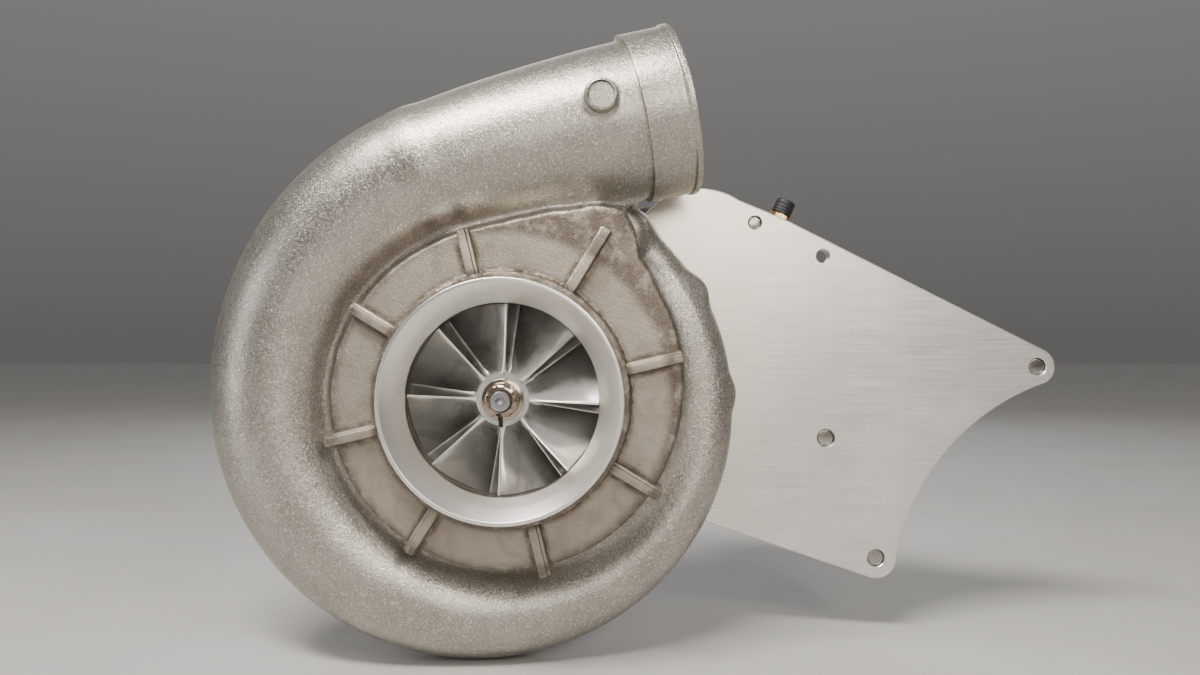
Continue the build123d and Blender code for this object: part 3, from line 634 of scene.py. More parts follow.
# How much farther out the face reaches, against the angle.
FACE_AT = [-180, -150, -90, -45, -20, 0, 13.5, 24, 35, 46, 52, 57, 64, 70.6, 82, 90, 98, 115, 150, 180]
FACE_EXTRA = [
    -0.2, -0.8, -1.5, 0.0, 1.5, 3.2, 5.4, 7.0, 8.5, 13.0,
    22.0, 27.0, 22.0, 14.5, 6.0, 2.0, 0.0, -1.5, -0.7, -0.2,
]
RIB_ENDS = [95.7, 103.5, 90.2, 91.6, 93.5, 92.2, 93.4, 95.0]
BOSS_S, BOSS_R, BOSS_Y = 83.0, 8.4, 2.5
BOSS_X, BOSS_Z = NECK_START[0] + NECK_WAY[0] * BOSS_S, NECK_START[2] + NECK_WAY[2] * BOSS_S + 6.0


def volute_field(x, y, z):
    r = np.hypot(x, z)
    scroll, neck, s, q = tube_distance(x, y, z, 0.0)
    neck = np.maximum(neck, s - BAND_START - 4.0)
    tube = smin(scroll, neck, 2.5)
    wider = np.interp(np.degrees(np.arctan2(z, x)), FACE_AT, FACE_EXTRA)
    wider = wider * np.clip((66.0 - y) / 20.0, 0.0, 1.0)
    stretch = np.clip((r - 70.0) / (20.0 + wider), 0.0, 1.0)
    low = np.clip((np.hypot(x - 84.0, z - 96.0) - 8.0) / 26.0, 0.0, 1.0)
    disc = poly_distance(r - wider * stretch, y - 11.0 * (1.0 - low) ** 2 * (r > 85.0), BODY_OUTLINE)
    blob = np.sqrt((x - 70.0) ** 2 + (z - 94.0) ** 2 + ((y - 62.0) * 0.5) ** 2) - 8.0
    disc = smin(disc, blob, 14.0)
    body = smin(tube, disc, 13.0)
    boss = smax(np.hypot(x - BOSS_X, z - BOSS_Z) - BOSS_R + 0.5, np.abs(y - 16.0) - 12.0, 1.0)
    body = smin(body, boss, 3.5)
    for deg in (29.5, 0.5):
        a = math.radians(deg)
        ear = smax(np.hypot(x - 117 * math.cos(a), z - 117 * math.sin(a)) - 8.5, np.abs(y - 68.0) - 12.0, 5.0)
        body = smin(body, ear, 7.0)
    body = np.maximum(body, np.where((r < 112.4) & (s < 60), y - 80.0, -50.0))
    in_scroll, in_neck, _, _ = tube_distance(x, y, z, SCROLL_WALL, 12.0)
    hollow = smin(in_scroll, in_neck, 2.5)
    bore = np.maximum(q - NECK_BORE_R, 95.0 - s)
    hollow = np.minimum(hollow, bore)
    space = poly_distance(r, y, SPACE_OUTLINE)
    seat = poly_distance(r, y, RING_SEAT)
    return np.maximum(body, -np.minimum(np.minimum(hollow, space), seat))


STEP = 1.25
NECK_FRAME = (tuple(NECK_START), tuple(NECK_WAY))
field_piece("volute_casting", volute_field, (-168, 2, -150), (134, 106, 206), STEP, "housing", "cast",
            replaces=("volute_housing",))


def rib_mesh(deg, r_end):
    """A stepped rib with drafted sides from the collar to r_end, with its ledge on the upper side."""
    a = math.radians(deg)
    up = 1.0 if math.cos(a) > 0 else -1.0
    front = RIB_FRONT_Y
    section = rounded([
        (-4.5, RIB_ROOT_Y, 0.0), (-3.1, front + 5.2, 0.9), (-2.5, front, 0.55), (1.7, front, 0.45),
        (2.0, front + 1.9, 0.3), (3.3, front + 2.2, 0.4), (3.8, front + 5.4, 0.9), (4.7, RIB_ROOT_Y, 0.0),
    ], 4)
    rows = []
    stations = (
        (COLLAR_R - 0.8, 1.0, 0.0), (r_end - 1.1, 1.0, 0.0), (r_end - 0.35, 0.93, 0.25), (r_end, 0.8, 0.9),
    )
    for r, shrink, drop in stations:
        row = []
        for w, y in section:
            w *= up * shrink
            x, z = r * math.cos(a) - w * math.sin(a), r * math.sin(a) + w * math.cos(a)
            row.append((x, min(RIB_ROOT_Y, y + drop), z))
        rows.append(row)
    count = len(section)
    verts = [p for row in rows for p in row]
    faces = row_faces(len(rows), count)
    faces.append([k for k in reversed(range(count))])
    faces.append([(len(rows) - 1) * count + k for k in range(count)])
    return verts, [f[::-1] if up > 0 else f for f in faces]


band = rounded([
    (NECK_BORE_R, BAND_START, 0.0), (BAND_R, BAND_START, 0.35), (BAND_R, BAND_END - 4.2, 1.2),
    (LIP_R, BAND_END - 3.4, 1.0), (LIP_R, BAND_END, 0.8), (LIP_R - 2.6, BAND_END, 0.4),
    (LIP_R - 3.0, BAND_END - 0.4, 0.3), (NECK_BORE_R + 0.6, BAND_END - 0.4, 0.4),
    (NECK_BORE_R, BAND_END - 1.2, 0.4),
])
piece("volute_hose_band", *placed(lathe(band, around=224), *NECK_FRAME), "housing", "cast", sharp=36)
boss_top = rounded([(0.0, BOSS_Y, 0.0), (0.0, 20.0, 0.0), (BOSS_R + 0.2, 20.0, 0.0), (BOSS_R, BOSS_Y, 1.3)])
piece("volute_round_boss", *lathe(boss_top, BOSS_X, BOSS_Z, 96, closed=False), "housing", "cast", sharp=50)
ribs = [rib_mesh(FIRST_RIB_DEG + 45 * k, end) for k, end in enumerate(RIB_ENDS)]
piece("volute_face_ribs", *joined(*ribs), "housing", "cast", sharp=40)

# ---------------------------------------------------------------- inlet ring
ring = rounded([
    (RING_MOUTH_R, 0.0, 0.5), (RING_R, 0.0, 0.7), (RING_R, COLLAR_Y - 0.4, 0.4),
    (SEAT_R, COLLAR_Y - 0.4, 0.0), (SEAT_R, RING_Y, 0.3), (INDUCER_R + TIP_GAP, RING_Y, 0.2),
    (INDUCER_R + TIP_GAP, RING_Y - 0.8, 1.2), (INDUCER_R + 5.0, RING_Y - 6.8, 14.0),
])
piece("inlet_ring_turned", *lathe(ring, around=256), "housing", "machined",
      replaces=("inlet_ring",), sharp=50)


# ---------------------------------------------------------------- compressor wheel
def wrap_deg(m):
    return 45 * (1 - (1 - m) ** 2.4) + 22 * m * m


def blade_mesh(start_deg, m0):
    """One blade as a closed shell with a rounded leading edge and a fillet at the hub."""
    along, up = 40, 14
    verts = []
    grid = {}
    for side in (-1, 1):
        for i in range(along + 1):
            m = m0 + (1 - m0) * (i / along) ** 1.25
            a = math.radians(start_deg + wrap_deg(m))
            hub, top = np.array(hub_at(m, 1.2)), np.array(shroud_at(m, 0.0))
            near = min(1.0, math.sqrt(max(0.0, i) / 3.0)) if i < 3 else 1.0
            for j in range(up + 1):
                w = j / up
                r, y = hub + (top - hub) * w
                t = BLADE_T * (1.45 - 0.85 * w) + 3.2 * math.exp(-w * 13)
                h = side * t / 2 * (0.28 + 0.72 * near)
                x, z = r * math.cos(a) - math.sin(a) * h, r * math.sin(a) + math.cos(a) * h
                grid[side, i, j] = len(verts)
                verts.append((x, y, z))
    faces = []
    for i in range(along):
        for j in range(up):
            faces.append([grid[1, i, j], grid[1, i + 1, j], grid[1, i + 1, j + 1], grid[1, i, j + 1]])
            faces.append([grid[-1, i, j + 1], grid[-1, i + 1, j + 1], grid[-1, i + 1, j], grid[-1, i, j]])
    for i in range(along):
        for j in (0, up):
            loop = [grid[-1, i, j], grid[-1, i + 1, j], grid[1, i + 1, j], grid[1, i, j]]
            faces.append(loop if j == 0 else loop[::-1])
    for j in range(up):
        for i in (0, along):
            loop = [grid[1, i, j], grid[1, i, j + 1], grid[-1, i, j + 1], grid[-1, i, j]]
            faces.append(loop if i == 0 else loop[::-1])
    return verts, faces


hub_line = arc_points(lambda m: hub_at(m), 48)
hub = [(7.02, WHEEL_FRONT_Y + 0.4), (7.4, WHEEL_FRONT_Y), (HUB_NOSE_R - 0.7, WHEEL_FRONT_Y)] + hub_line[1:]
hub += [(TIP_R, WHEEL_BACK_Y), (20.0, WHEEL_BACK_Y), (18.0, WHEEL_BACK_Y + 0.5), (7.02, WHEEL_BACK_Y + 0.5)]
wheel_parts = [lathe(hub, around=192)]
for k in range(8):
    wheel_parts.append(blade_mesh(FIRST_BLADE_DEG + 45 * k, 0.0))
    wheel_parts.append(blade_mesh(FIRST_BLADE_DEG + 45 * (k - 0.5), 0.165))
piece("compressor_wheel_billet", *joined(*wheel_parts), "impeller_rotor", "polished",
      replaces=("compressor_wheel",), sharp=44)

# ---------------------------------------------------------------- nut and washer
NUT_R, NUT_BORE_R, NUT_FRONT_Y, NUT_BACK_Y = 9.0, 5.1, 5.5, 14.0
washer = rounded([
    (NUT_BORE_R, NUT_BACK_Y, 0.2), (8.6, NUT_BACK_Y, 0.3), (9.0, NUT_BACK_Y + 0.9, 0.3),
    (11.0, NUT_BACK_Y + 1.2, 0.5), (11.0, WHEEL_FRONT_Y, 0.0), (NUT_BORE_R, WHEEL_FRONT_Y, 0.0),
])
piece("wheel_washer_turned", *lathe(washer, around=96), "impeller_rotor", "nut_steel",
      replaces=("wheel_washer",))


def hex_nut(r, y0, y1, bore, chamfer):
    """A hexagon nut whose corners are turned off at both ends."""
    count = 72
    rows = []
    flat = r * math.cos(math.pi / 6)
    turns = [2 * math.pi * k / count for k in range(count)]
    limits = (
        (y0, flat - 0.5), (y0 + 0.35, flat + 0.15), (y0 + chamfer, r), (y1 - chamfer * 0.6, r), (y1, flat),
    )
    for y, reach in limits:
        row = []
        for a in turns:
            local = (a + math.pi / 6) % (math.pi / 3) - math.pi / 6
            out = min(flat / math.cos(local), reach)
            row.append((out * math.cos(a + math.pi / 6), y, out * math.sin(a + math.pi / 6)))
        rows.append(row)
    for out, y in ((bore, y1), (bore, y0 + 0.8), (bore + 0.8, y0)):
        rows.append([(out * math.cos(a + math.pi / 6), y, out * math.sin(a + math.pi / 6)) for a in turns])
    return [p for row in rows for p in row], row_faces(len(rows), count, closed=True)


piece("wheel_nut_hex", *hex_nut(NUT_R, NUT_FRONT_Y, NUT_BACK_Y, NUT_BORE_R, 1.5),
      "impeller_rotor", "nut_steel", replaces=("wheel_nut",), sharp=30)

# ---------------------------------------------------------------- mounting plate
def arc3(p, q, r, steps):
    """Points from p to r along the circle through q, without the last one."""
    (ax, ay), (bx, by), (cx, cy) = p, q, r
    d = 2 * (ax * (by - cy) + bx * (cy - ay) + cx * (ay - by))
    aa, bb, cc = ax * ax + ay * ay, bx * bx + by * by, cx * cx + cy * cy
    ux = (aa * (by - cy) + bb * (cy - ay) + cc * (ay - by)) / d
    uy = (aa * (cx - bx) + bb * (ax - cx) + cc * (bx - ax)) / d
    radius = math.hypot(ax - ux, ay - uy)
    a0, a1, a2 = (math.atan2(v - uy, u - ux) for u, v in (p, q, r))
    sweep = (a2 - a0) % (2 * math.pi)
    if (a1 - a0) % (2 * math.pi) > sweep:
        sweep -= 2 * math.pi
    turns = [a0 + sweep * k / steps for k in range(steps)]
    return [(ux + radius * math.cos(a), uy + radius * math.sin(a)) for a in turns]


def inset(points, d):
    """A closed loop moved to its left by d."""
    out = []
    for i, p in enumerate(points):
        a, b = np.array(points[i - 1]), np.array(points[(i + 1) % len(points)])
        p = np.array(p)
        e0, e1 = (p - a) / np.linalg.norm(p - a), (b - p) / np.linalg.norm(b - p)
        n0, n1 = np.array((-e0[1], e0[0])), np.array((-e1[1], e1[0]))
        out.append(tuple(p + (n0 + n1) / max(0.4, 1 + float(n0 @ n1)) * d))
    return out


def circle(r, x, z, count=64):
    turns = [2 * math.pi * k / count for k in range(count)]
    return [(x + r * math.cos(a), z + r * math.sin(a)) for a in turns]


def at_angles(r, degrees, x=0.0, z=0.0):
    """Points at a radius from (x, z), at the given angles."""
    return [(x + r * math.cos(math.radians(a)), z + r * math.sin(math.radians(a))) for a in degrees]


def drilled_slab(outline, y0, y1, edge, holes):
    """A slab with bevelled edges. outline runs counter-clockwise in (x, z), and a hole is
    (x, z, [(radius, y), ...]) from the front face to the back one."""
    verts, faces = [], []

    def add(loop, y):
        start = len(verts)
        verts.extend((u, y, v) for u, v in loop)
        return list(range(start, start + len(loop)))

    def wall(a, b):
        for k in range(len(a)):
            m = (k + 1) % len(a)
            faces.append([a[k], a[m], b[m], b[k]])

    small = inset(outline, edge)
    third = inset(outline, edge * 0.3)
    rows = [add(small, y0), add(third, y0 + edge * 0.3), add(outline, y0 + edge), add(outline, y1 - edge),
            add(third, y1 - edge * 0.3), add(small, y1)]
    for a, b in zip(rows, rows[1:]):
        wall(a, b)
    fronts, backs = [rows[0]], [rows[-1]]
    for x, z, steps in holes:
        count = 96 if steps[0][0] > 20 else 40
        loops = [add(circle(r, x, z, count), y) for r, y in steps]
        for a, b in zip(loops, loops[1:]):
            wall(b, a)
        fronts.append(loops[0])
        backs.append(loops[-1])
    for group, flip in ((fronts, True), (backs, False)):
        flat = [i for loop in group for i in loop]
        tris = tessellate_polygon([[Vector((verts[i][0], verts[i][2], 0)) for i in loop] for loop in group])
        for tri in tris:
            loop = [flat[i] for i in tri]
            (ax, _, az), (bx, _, bz), (cx, _, cz) = (verts[i] for i in loop)
            ccw = (bx - ax) * (cz - az) - (bz - az) * (cx - ax) > 0
            faces.append(loop if ccw == flip else loop[::-1])
    return verts, faces


STANDOFF_AT = [(312.8, 14.7), (215.9, -100.1), (185.9, -28.1)]
LUG_AT, OPEN_HOLE_AT = (143.3, 101.2), (184.1, 81.1)
POCKET_DEPTH, LUG_DEPTH = 7, 6
CASE_SCREWS = at_angles(75, (90, 140, 190, 240, 290))
plate_line = arc3((0, 85), (-85, 0), (0, -85), 60) + [(0, -85), (104, -75.1)]
plate_line += arc3((211.9, -111.8), (223.9, -109.6), (228.3, -100.1), 14)
plate_line += arc3((228.3, -100.1), (257, -37.5), (318, 5.2), 48)
plate_line += arc3((318, 5.2), (323.2, 11.9), (317.6, 24.4), 16)
plate_line += [(317.6, 24.4), (160, 103.8)] + arc3((134, 114.5), (104, 121.2), (78, 107), 28)
plate_line += arc3((78, 107), (72.5, 102.5), (71, 97), 10) + [(71, 97), (60, 88)]
PLATE_BACK = PLATE_Y + PLATE_T
plate_holes = [(0, 0, [(62.5, PLATE_Y), (62.0, PLATE_Y + 0.5), (62.0, PLATE_BACK - 0.5), (62.5, PLATE_BACK)])]
pocket = [
    (5.65, PLATE_Y), (5.2, PLATE_Y + 0.45), (5.2, PLATE_Y + POCKET_DEPTH), (3.2, PLATE_Y + POCKET_DEPTH),
    (3.2, PLATE_BACK),
]
lug_pocket = [
    (4.4, PLATE_Y), (4.0, PLATE_Y + 0.4), (4.0, PLATE_Y + LUG_DEPTH), (2.1, PLATE_Y + LUG_DEPTH),
    (2.1, PLATE_BACK),
]
open_hole = [(4.45, PLATE_Y), (4.0, PLATE_Y + 0.45), (4.0, PLATE_BACK - 0.4), (4.4, PLATE_BACK)]
for hole_x, hole_z in STANDOFF_AT:
    plate_holes.append((hole_x, hole_z, pocket))
plate_holes.append((*LUG_AT, lug_pocket))
plate_holes.append((*OPEN_HOLE_AT, open_hole))
for hole_x, hole_z in CASE_SCREWS:
    plate_holes.append((hole_x, hole_z, [(3.2, PLATE_Y), (3.2, PLATE_BACK)]))
piece("mounting_plate_milled", *drilled_slab(plate_line, PLATE_Y, PLATE_BACK, 0.8, plate_holes),
      "housing", "plate", replaces=("mounting_plate",), sharp=25)


# ---------------------------------------------------------------- screws
def socket_head(r, length, head_r, head_h, y_seat, x, z, facing=1, socket=0.56):
    """A socket head cap screw with rounded edges and a hexagonal socket; facing as in the frame."""
    count = 48
    top, tip = -head_h, length
    deep = top + head_h * 0.55
    rows = []

    turns = [2 * math.pi * k / count for k in range(count)]

    def round_row(radius, y):
        rows.append([(radius * math.cos(a), y, radius * math.sin(a)) for a in turns])

    def hex_row(radius, y):
        row = []
        for a in turns:
            local = a % (math.pi / 3) - math.pi / 6
            edge = radius * math.cos(math.pi / 6) / math.cos(local)
            row.append((edge * math.cos(a), y, edge * math.sin(a)))
        rows.append(row)

    round_row(r - 0.5, tip)
    round_row(r, tip - 0.5)
    round_row(r, 0)
    round_row(head_r - 0.15, 0)
    round_row(head_r, -0.15)
    round_row(head_r, top + 0.55)
    round_row(head_r - 0.16, top + 0.16)
    round_row(head_r - 0.55, top)
    round_row(head_r * socket + 0.45, top)
    hex_row(head_r * socket, top + 0.3)
    hex_row(head_r * socket, deep)
    round_row(head_r * socket * 0.3, deep + 0.5)
    verts = [(x + p[0], y_seat + facing * p[1], z + p[2]) for row in rows for p in row]
    faces = []
    for i in range(len(rows) - 1):
        for k in range(count):
            m = (k + 1) % count
            loop = [i * count + k, (i + 1) * count + k, (i + 1) * count + m, i * count + m]
            faces.append(loop if facing < 0 else loop[::-1])
    for i, flip in ((0, False), (len(rows) - 1, True)):
        loop = [i * count + k for k in range(count)]
        faces.append(loop[::-1] if flip == (facing < 0) else loop)
    return verts, faces


def stud(r, length, head_r, head_h, y_seat, x, z):
    """A plain-ended stud with a turned collar."""
    tip, top = y_seat + length, y_seat - head_h
    line = [
        (0.0, tip, 0.0), (r - 0.4, tip, 0.0), (r, tip - 0.4, 0.0), (r, y_seat, 0.0), (head_r, y_seat, 0.0),
        (head_r, top, 0.5), (0.0, top, 0.0),
    ]
    return lathe(rounded(line, 4)[::-1], x, z, 56, closed=False)


studs = [stud(2.46, 18, 4.75, 5.3, PLATE_Y + POCKET_DEPTH, x, z) for x, z in STANDOFF_AT]
piece("standoff_screw_heads", *joined(*studs), "housing", "bright_steel", MAT["stud_steel"],
      replaces=("standoff_screws",), sharp=32)
piece("plate_lug_screw_head", *stud(2.0, 14, 3.6, 4.5, PLATE_Y + LUG_DEPTH, *LUG_AT),
      "housing", "bright_steel", MAT["stud_steel"], replaces=("plate_lug_screw",), sharp=32)
screws = [socket_head(3.0, 19, 5.0, 5.5, PLATE_Y, x, z) for x, z in CASE_SCREWS]
piece("plate_case_screw_heads", *joined(*screws), "housing", "bright_steel",
      replaces=("plate_case_screws",), sharp=32)
FLANGE_Y = 86
VOLUTE_SCREWS = at_angles(104, (0, 45, 135, 180, 225, 270, 315))
screws = [socket_head(2.5, 14, 4.25, 5, FLANGE_Y, x, z, -1) for x, z in VOLUTE_SCREWS]
piece("volute_screw_heads", *joined(*screws), "housing", "dark_steel", replaces=("volute_screws",), sharp=32)
RIM = at_angles(84.5, (100, 145, 190, 235, 270))
RIM += at_angles(88.5, (110, 70, 25, -20, -65), INPUT_X, INPUT_Z)
screws = [socket_head(2.5, 19, 4.25, 5, COVER_Y, x, z, -1) for x, z in RIM]
piece("case_screw_heads", *joined(*screws), "housing", "bright_steel", replaces=("case_screws",), sharp=32)

# ---------------------------------------------------------------- breather
LEAN = (math.sin(math.radians(24)), 0.0, math.cos(math.radians(24)))
VENT_SEAT = (159.2, 118.0, 100.9)


stem = rounded([(1.62, -8.0, 0.2), (3.6, -8.0, 0.3), (3.95, -7.4, 0.2), (3.95, 0.0, 0.0), (1.62, 0.0, 0.0)])
barb = rounded([(1.62, 8.5, 0.0), (5.0, 8.5, 0.0), (5.0, 11.9, 0.2), (4.4, 12.5, 0.2), (1.62, 12.5, 0.2)])
fitting = joined(lathe(stem, around=48), hex_nut(7.0, 0.0, 8.6, 1.7, 0.7), lathe(barb, around=48))
piece("breather_fitting", *placed(fitting, VENT_SEAT, LEAN), "housing", "brass",
      replaces=("vent_fitting",), sharp=32)
cap_line = [(5.08, 8.9, 0.2), (6.1, 8.9, 0.4), (6.3, 9.5, 0.2)]
for k in range(3):
    y = 10.4 + 2.0 * k
    cap_line += [(6.3, y, 0.15), (5.95, y + 0.35, 0.2), (6.3, y + 0.7, 0.15)]
cap_line += [(6.3, 17.0, 0.5), (5.7, 18.0, 0.5), (0.0, 18.0, 0.0), (0.0, 13.0, 0.0), (5.08, 13.0, 0.2)]
piece("breather_cap", *placed(lathe(rounded(cap_line, 3), around=64), VENT_SEAT, LEAN),
      "housing", "black_plastic", replaces=("vent_cap",), sharp=40)

# ---------------------------------------------------------------- gearcase
UP = (0.0, 0.0, 1.0)


def outline_distance(x, z, grow=0.0):
    """Distance in X and Z to the outline round both shafts."""
    along = np.clip((x * INPUT_X + z * INPUT_Z) / SHAFT_SPACING ** 2, 0.0, 1.0)
    away = np.hypot(x - along * INPUT_X, z - along * INPUT_Z)
    return away - (CASE_SMALL_R + (CASE_R - CASE_SMALL_R) * along) - grow


def slab_distance(flat, y, y0, y1, edge):
    """A slab of a flat distance between y0 and y1, with rounded edges."""
    w = np.abs(y - (y0 + y1) / 2) - (y1 - y0) / 2
    return smax(flat, w, edge)


def slanted_rod(x, y, z, r, origin, axis, s0, s1):
    px, py, pz = x - origin[0], y - origin[1], z - origin[2]
    s = px * axis[0] + py * axis[1] + pz * axis[2]
    q = np.sqrt(np.maximum(px * px + py * py + pz * pz - s * s, 0)) - r
    return np.maximum(q, np.maximum(s0 - s, s - s1))


# Bores of the two halves: radius, from y, to y, and the axis in x and z.
CASE_BORES = [
    (9.5, 80, 120, 0, 0), (18.05, 80, 90, 0, 0), (20.05, 104, 130, 0, 0), (25.5, 118, 150, 0, 0),
    (20.05, 107, 130, INPUT_X, INPUT_Z), (2.04, 100, 117, *LUG_AT),
]
COVER_BORES = [
    (17.55, 120, 153, 0, 0), (12.5, 120, 155, 0, 0), (26.05, 120, 157, INPUT_X, INPUT_Z),
    (20.05, 160, 180, INPUT_X, INPUT_Z), (14.0, 120, 180, INPUT_X, INPUT_Z),
]


def case_field(x, y, z):
    body = slab_distance(outline_distance(x, z), y, PLATE_BACK, JOINT_Y + 4, 1.5)
    body = smin(body, rod_distance(x, y, z, 9.0, PLATE_BACK, 122.0, *LUG_AT), 3.0)
    body = smin(body, rod_distance(x, y, z, 7.0, PLATE_BACK, 120.0, 138.0, 94.0), 6.0)
    for px, pz in RIM:
        body = smin(body, rod_distance(x, y, z, 6.5, 124.0, JOINT_Y + 4, px, pz), 2.5)
    body = smin(body, slanted_rod(x, y, z, 9.0, VENT_SEAT, LEAN, -22.0, 0.0), 3.0)
    drain_boss = slanted_rod(x, y, z, 9.0, (INPUT_X, 124.0, INPUT_Z - CASE_R - 7.0), UP, 0.0, 12.0)
    body = smin(body, drain_boss, 3.0)
    body = np.minimum(body, rod_distance(x, y, z, 61.96, 86.0, 106.0))
    cavity = slab_distance(outline_distance(x, z, -CASE_WALL), y, CAVITY_Y, JOINT_Y + 9, 2.0)
    body = np.maximum(body, -cavity)
    body = np.maximum(body, -np.maximum(rod_distance(x, y, z, 54.0, 93.0, 112.0), 28.0 - np.hypot(x, z)))
    for k in range(6):
        px, pz = 42 * math.cos(math.radians(60 * k)), 42 * math.sin(math.radians(60 * k))
        body = np.minimum(body, rod_distance(x, y, z, 7.5, 92.0, CAVITY_Y, px, pz))
        body = np.maximum(body, -rod_distance(x, y, z, 3.04, 80.0, 103.0, px, pz))
    body = np.minimum(body, rod_distance(x, y, z, 28.0, 100.0, 118.0))
    body = np.minimum(body, rod_distance(x, y, z, 27.0, CAVITY_Y - 1, 120.3, INPUT_X, INPUT_Z))
    for r, y0, y1, px, pz in CASE_BORES:
        body = np.maximum(body, -rod_distance(x, y, z, r, y0, y1, px, pz))
    for px, pz in CASE_SCREWS:
        body = np.minimum(body, rod_distance(x, y, z, 7.0, CAVITY_Y - 1, 118.0, px, pz))
        body = np.maximum(body, -rod_distance(x, y, z, 3.06, 100.0, 115.0, px, pz))
    for px, pz in RIM:
        body = np.maximum(body, -rod_distance(x, y, z, 2.56, JOINT_Y - 14, JOINT_Y + 9, px, pz))
    body = np.maximum(body, -slanted_rod(x, y, z, 4.0, VENT_SEAT, LEAN, -32.0, 4.0))
    drain = slanted_rod(x, y, z, 5.0, (INPUT_X, 124.0, INPUT_Z - CASE_R - 10.0), UP, 0.0, 22.0)
    body = np.maximum(body, -drain)
    return np.maximum(body, y - JOINT_Y)


def cover_field(x, y, z):
    body = slab_distance(outline_distance(x, z), y, JOINT_Y - 6, COVER_Y, 2.0)
    for px, pz in RIM:
        body = smin(body, slab_distance(np.hypot(x - px, z - pz) - 6.5, y, JOINT_Y - 6, COVER_Y, 1.5), 2.0)
    body = smin(body, slab_distance(np.hypot(x, z) - 23.0, y, JOINT_Y, 158.0, 2.0), 4.0)
    body = smin(body, slab_distance(np.hypot(x - INPUT_X, z - INPUT_Z) - 33.0, y, JOINT_Y, 169.0, 2.0), 4.0)
    for k in range(6):
        a = math.radians(60 * k)
        along = (x - INPUT_X) * math.cos(a) + (z - INPUT_Z) * math.sin(a)
        across = np.abs(-(x - INPUT_X) * math.sin(a) + (z - INPUT_Z) * math.cos(a))
        strut = np.maximum(across - 2.5 - (153.0 - y) * 0.10, np.abs(along - 54.0) - 28.0)
        strut = smax(strut, np.abs(y - 145.0) - 8.0, 1.6)
        body = smin(body, np.maximum(strut, outline_distance(x, z, -5.0)), 3.0)
    for r, y0, y1, px, pz in COVER_BORES:
        body = np.maximum(body, -rod_distance(x, y, z, r, y0, y1, px, pz))
    for px, pz in RIM:
        body = np.maximum(body, -rod_distance(x, y, z, 2.8, 120.0, 160.0, px, pz))
    return np.maximum(body, JOINT_Y + 0.5 - y)


CASE_STEP = 1.3
field_piece("gearcase_casting", case_field, (-92, 84, -92), (192, 143, 120), CASE_STEP, "housing", "cast_raw",
            replaces=("gearcase_front",))
field_piece("gearcase_cover_casting", cover_field, (-92, 139, -92), (192, 171, 120), CASE_STEP,
            "housing", "cast_raw", replaces=("gearcase_cover",))
post = rounded([
    (2.5, PLATE_BACK, 0.0), (9.5, PLATE_BACK, 0.0), (9.5, PLATE_BACK + 32, 0.9), (4.9, PLATE_BACK + 32, 0.2),
    (4.2, PLATE_BACK + 31.3, 0.0), (4.2, PLATE_BACK + 20, 0.0), (2.5, PLATE_BACK + 18, 0.0),
])
piece("standoff_posts", *joined(*[lathe(post, x, z, 72) for x, z in STANDOFF_AT]), "housing", "machined",
      replaces=("plate_standoffs",), sharp=40)
BOLT_SEAT_Y, BOLT_HEAD_H, BOLT_TIP_Y, WASHER_T = 208.0, 5.5, 188.0, 3.0
head_verts, head_faces = hex_nut(7.5, 0.0, BOLT_HEAD_H, 0.02, 0.9)
head_verts = [(INPUT_X + x, BOLT_SEAT_Y + BOLT_HEAD_H - y, INPUT_Z + z) for x, y, z in head_verts]
bolt_head = (head_verts, [f[::-1] for f in head_faces])
shank_line = [
    (0.0, BOLT_SEAT_Y), (4.15, BOLT_SEAT_Y), (4.15, BOLT_TIP_Y + 0.4), (3.75, BOLT_TIP_Y), (0.0, BOLT_TIP_Y),
]
shank = lathe(shank_line, INPUT_X, INPUT_Z, 48, closed=False)
piece("pulley_bolt_hex", *joined(bolt_head, shank), "input_rotor", "bright_steel",
      replaces=("pulley_bolt",), sharp=32)
washer = rounded([
    (4.3, BOLT_SEAT_Y - WASHER_T, 0.0), (17.0, BOLT_SEAT_Y - WASHER_T, 0.4), (17.0, BOLT_SEAT_Y, 0.6),
    (4.3, BOLT_SEAT_Y, 0.3),
])
piece("pulley_washer_turned", *lathe(washer, INPUT_X, INPUT_Z, 96), "input_rotor", "bright_steel",
      replaces=("pulley_washer",))

# ---------------------------------------------------------------- finishes of the CAD nodes that stay
SLOT_OF = {s["node"]: s["material_slot"] for s in frame["record"]["subparts"]}
for node_name, node in NODES.items():
    node.data.materials.clear()
    node.data.materials.append(MAT[SLOT_OF[node_name]])

# ---------------------------------------------------------------- floor, light and camera
low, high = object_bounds()
floor_mesh = bpy.data.meshes.new("floor")
floor_z = low.z - 0.0003
reach = 6.0
corners = ((-reach, -reach), (reach, -reach), (reach, reach), (-reach, reach))
floor_mesh.from_pydata([(x, y, floor_z) for x, y in corners], [], [(0, 1, 2, 3)])
floor = bpy.data.objects.new("floor", floor_mesh)
bpy.context.scene.collection.objects.link(floor)
ground = Nodes("pale_floor")
cloud = ground.band(ground.noise(6, 3.0), 0.3, 0.7)
paint = ground.mix(cloud, rgb(0.40, 0.392, 0.38), rgb(0.43, 0.422, 0.41))
floor_mesh.materials.append(ground.finish(paint, 0.65, 0.0))


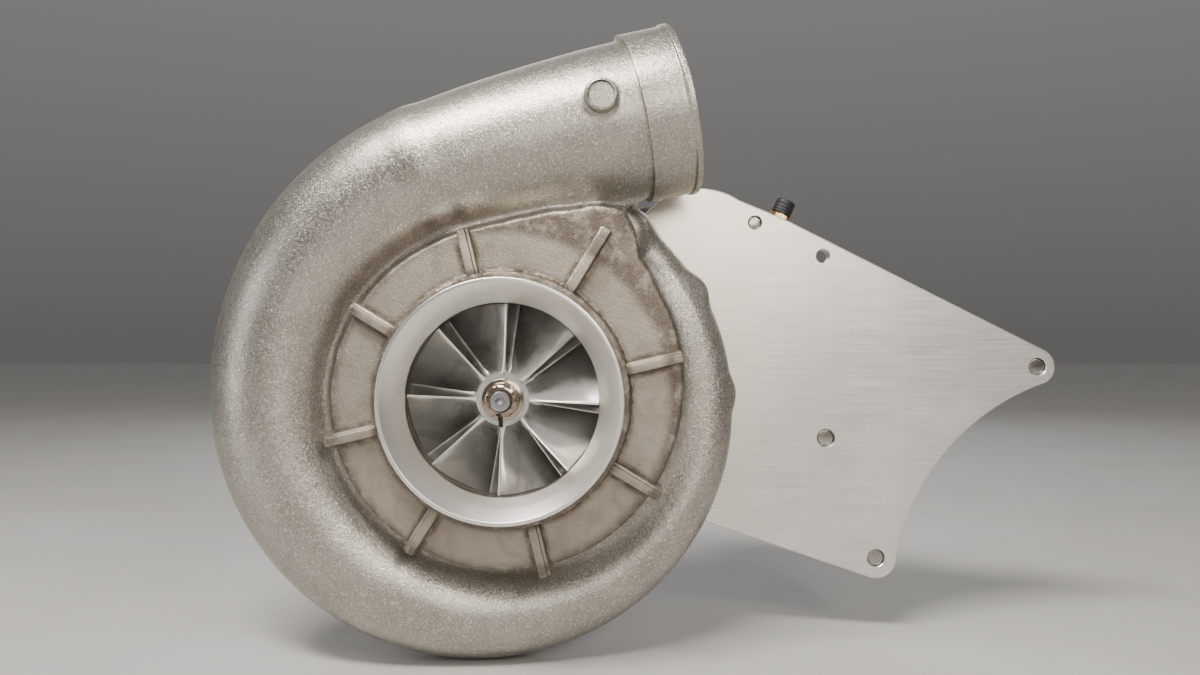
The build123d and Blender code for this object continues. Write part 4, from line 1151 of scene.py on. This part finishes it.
def area_light(name, location, target, size_m, power, colour=(1, 1, 1)):
    data = bpy.data.lights.new(name, "AREA")
    data.shape = "RECTANGLE"
    data.size, data.size_y = size_m
    data.energy = power
    data.color = colour
    obj = bpy.data.objects.new(name, data)
    obj.location = location
    obj.rotation_mode = "QUATERNION"
    obj.rotation_quaternion = (Vector(target) - Vector(location)).to_track_quat("-Z", "Y")
    bpy.context.scene.collection.objects.link(obj)


CENTRE = (0.05, 0.06, 0.02)
area_light("key", (-0.30, -0.55, 1.05), (0.03, 0.03, 0.12), (0.7, 0.22), 30, (1.0, 0.96, 0.90))
area_light("front", (0.75, -1.2, 0.75), (0.20, 0.09, 0.0), (0.35, 0.35), 8, (1.0, 0.95, 0.88))
area_light("plate_card", (0.24, -1.15, 0.34), (0.14, 0.10, 0.08), (0.45, 0.35), 3.2, (1.0, 0.95, 0.87))
area_light("left_card", (-1.1, -0.50, 0.10), CENTRE, (0.20, 0.7), 2.6, (0.95, 0.97, 1.0))
area_light("back", (0.2, 1.4, 0.8), CENTRE, (1.4, 0.8), 7)

world = bpy.data.worlds.new("studio")
bpy.context.scene.world = world
world.use_nodes = True
sky = world.node_tree
back = sky.nodes["Background"]
coord = sky.nodes.new("ShaderNodeTexCoord")
split = sky.nodes.new("ShaderNodeSeparateXYZ")
ramp = sky.nodes.new("ShaderNodeMapRange")
ramp.inputs["From Min"].default_value, ramp.inputs["From Max"].default_value = 0.0, 0.8
ramp.inputs["To Min"].default_value, ramp.inputs["To Max"].default_value = 0.12, 0.34
sky.links.new(coord.outputs["Generated"], split.inputs[0])
sky.links.new(split.outputs["Z"], ramp.inputs["Value"])
sky.links.new(ramp.outputs["Result"], back.inputs["Strength"])
back.inputs["Color"].default_value = (1.0, 0.98, 0.95, 1.0)

camera_data = bpy.data.cameras.new("camera")
camera_data.sensor_width = 36.0
camera_data.lens = 28.5
camera_data.clip_start, camera_data.clip_end = 0.01, 50.0
camera = bpy.data.objects.new("camera", camera_data)
camera.location = (0.0503, -0.475, 0.0322)
camera.rotation_euler = (math.radians(90), 0, 0)
bpy.context.scene.collection.objects.link(camera)
bpy.context.scene.camera = camera

bpy.context.view_layer.update()
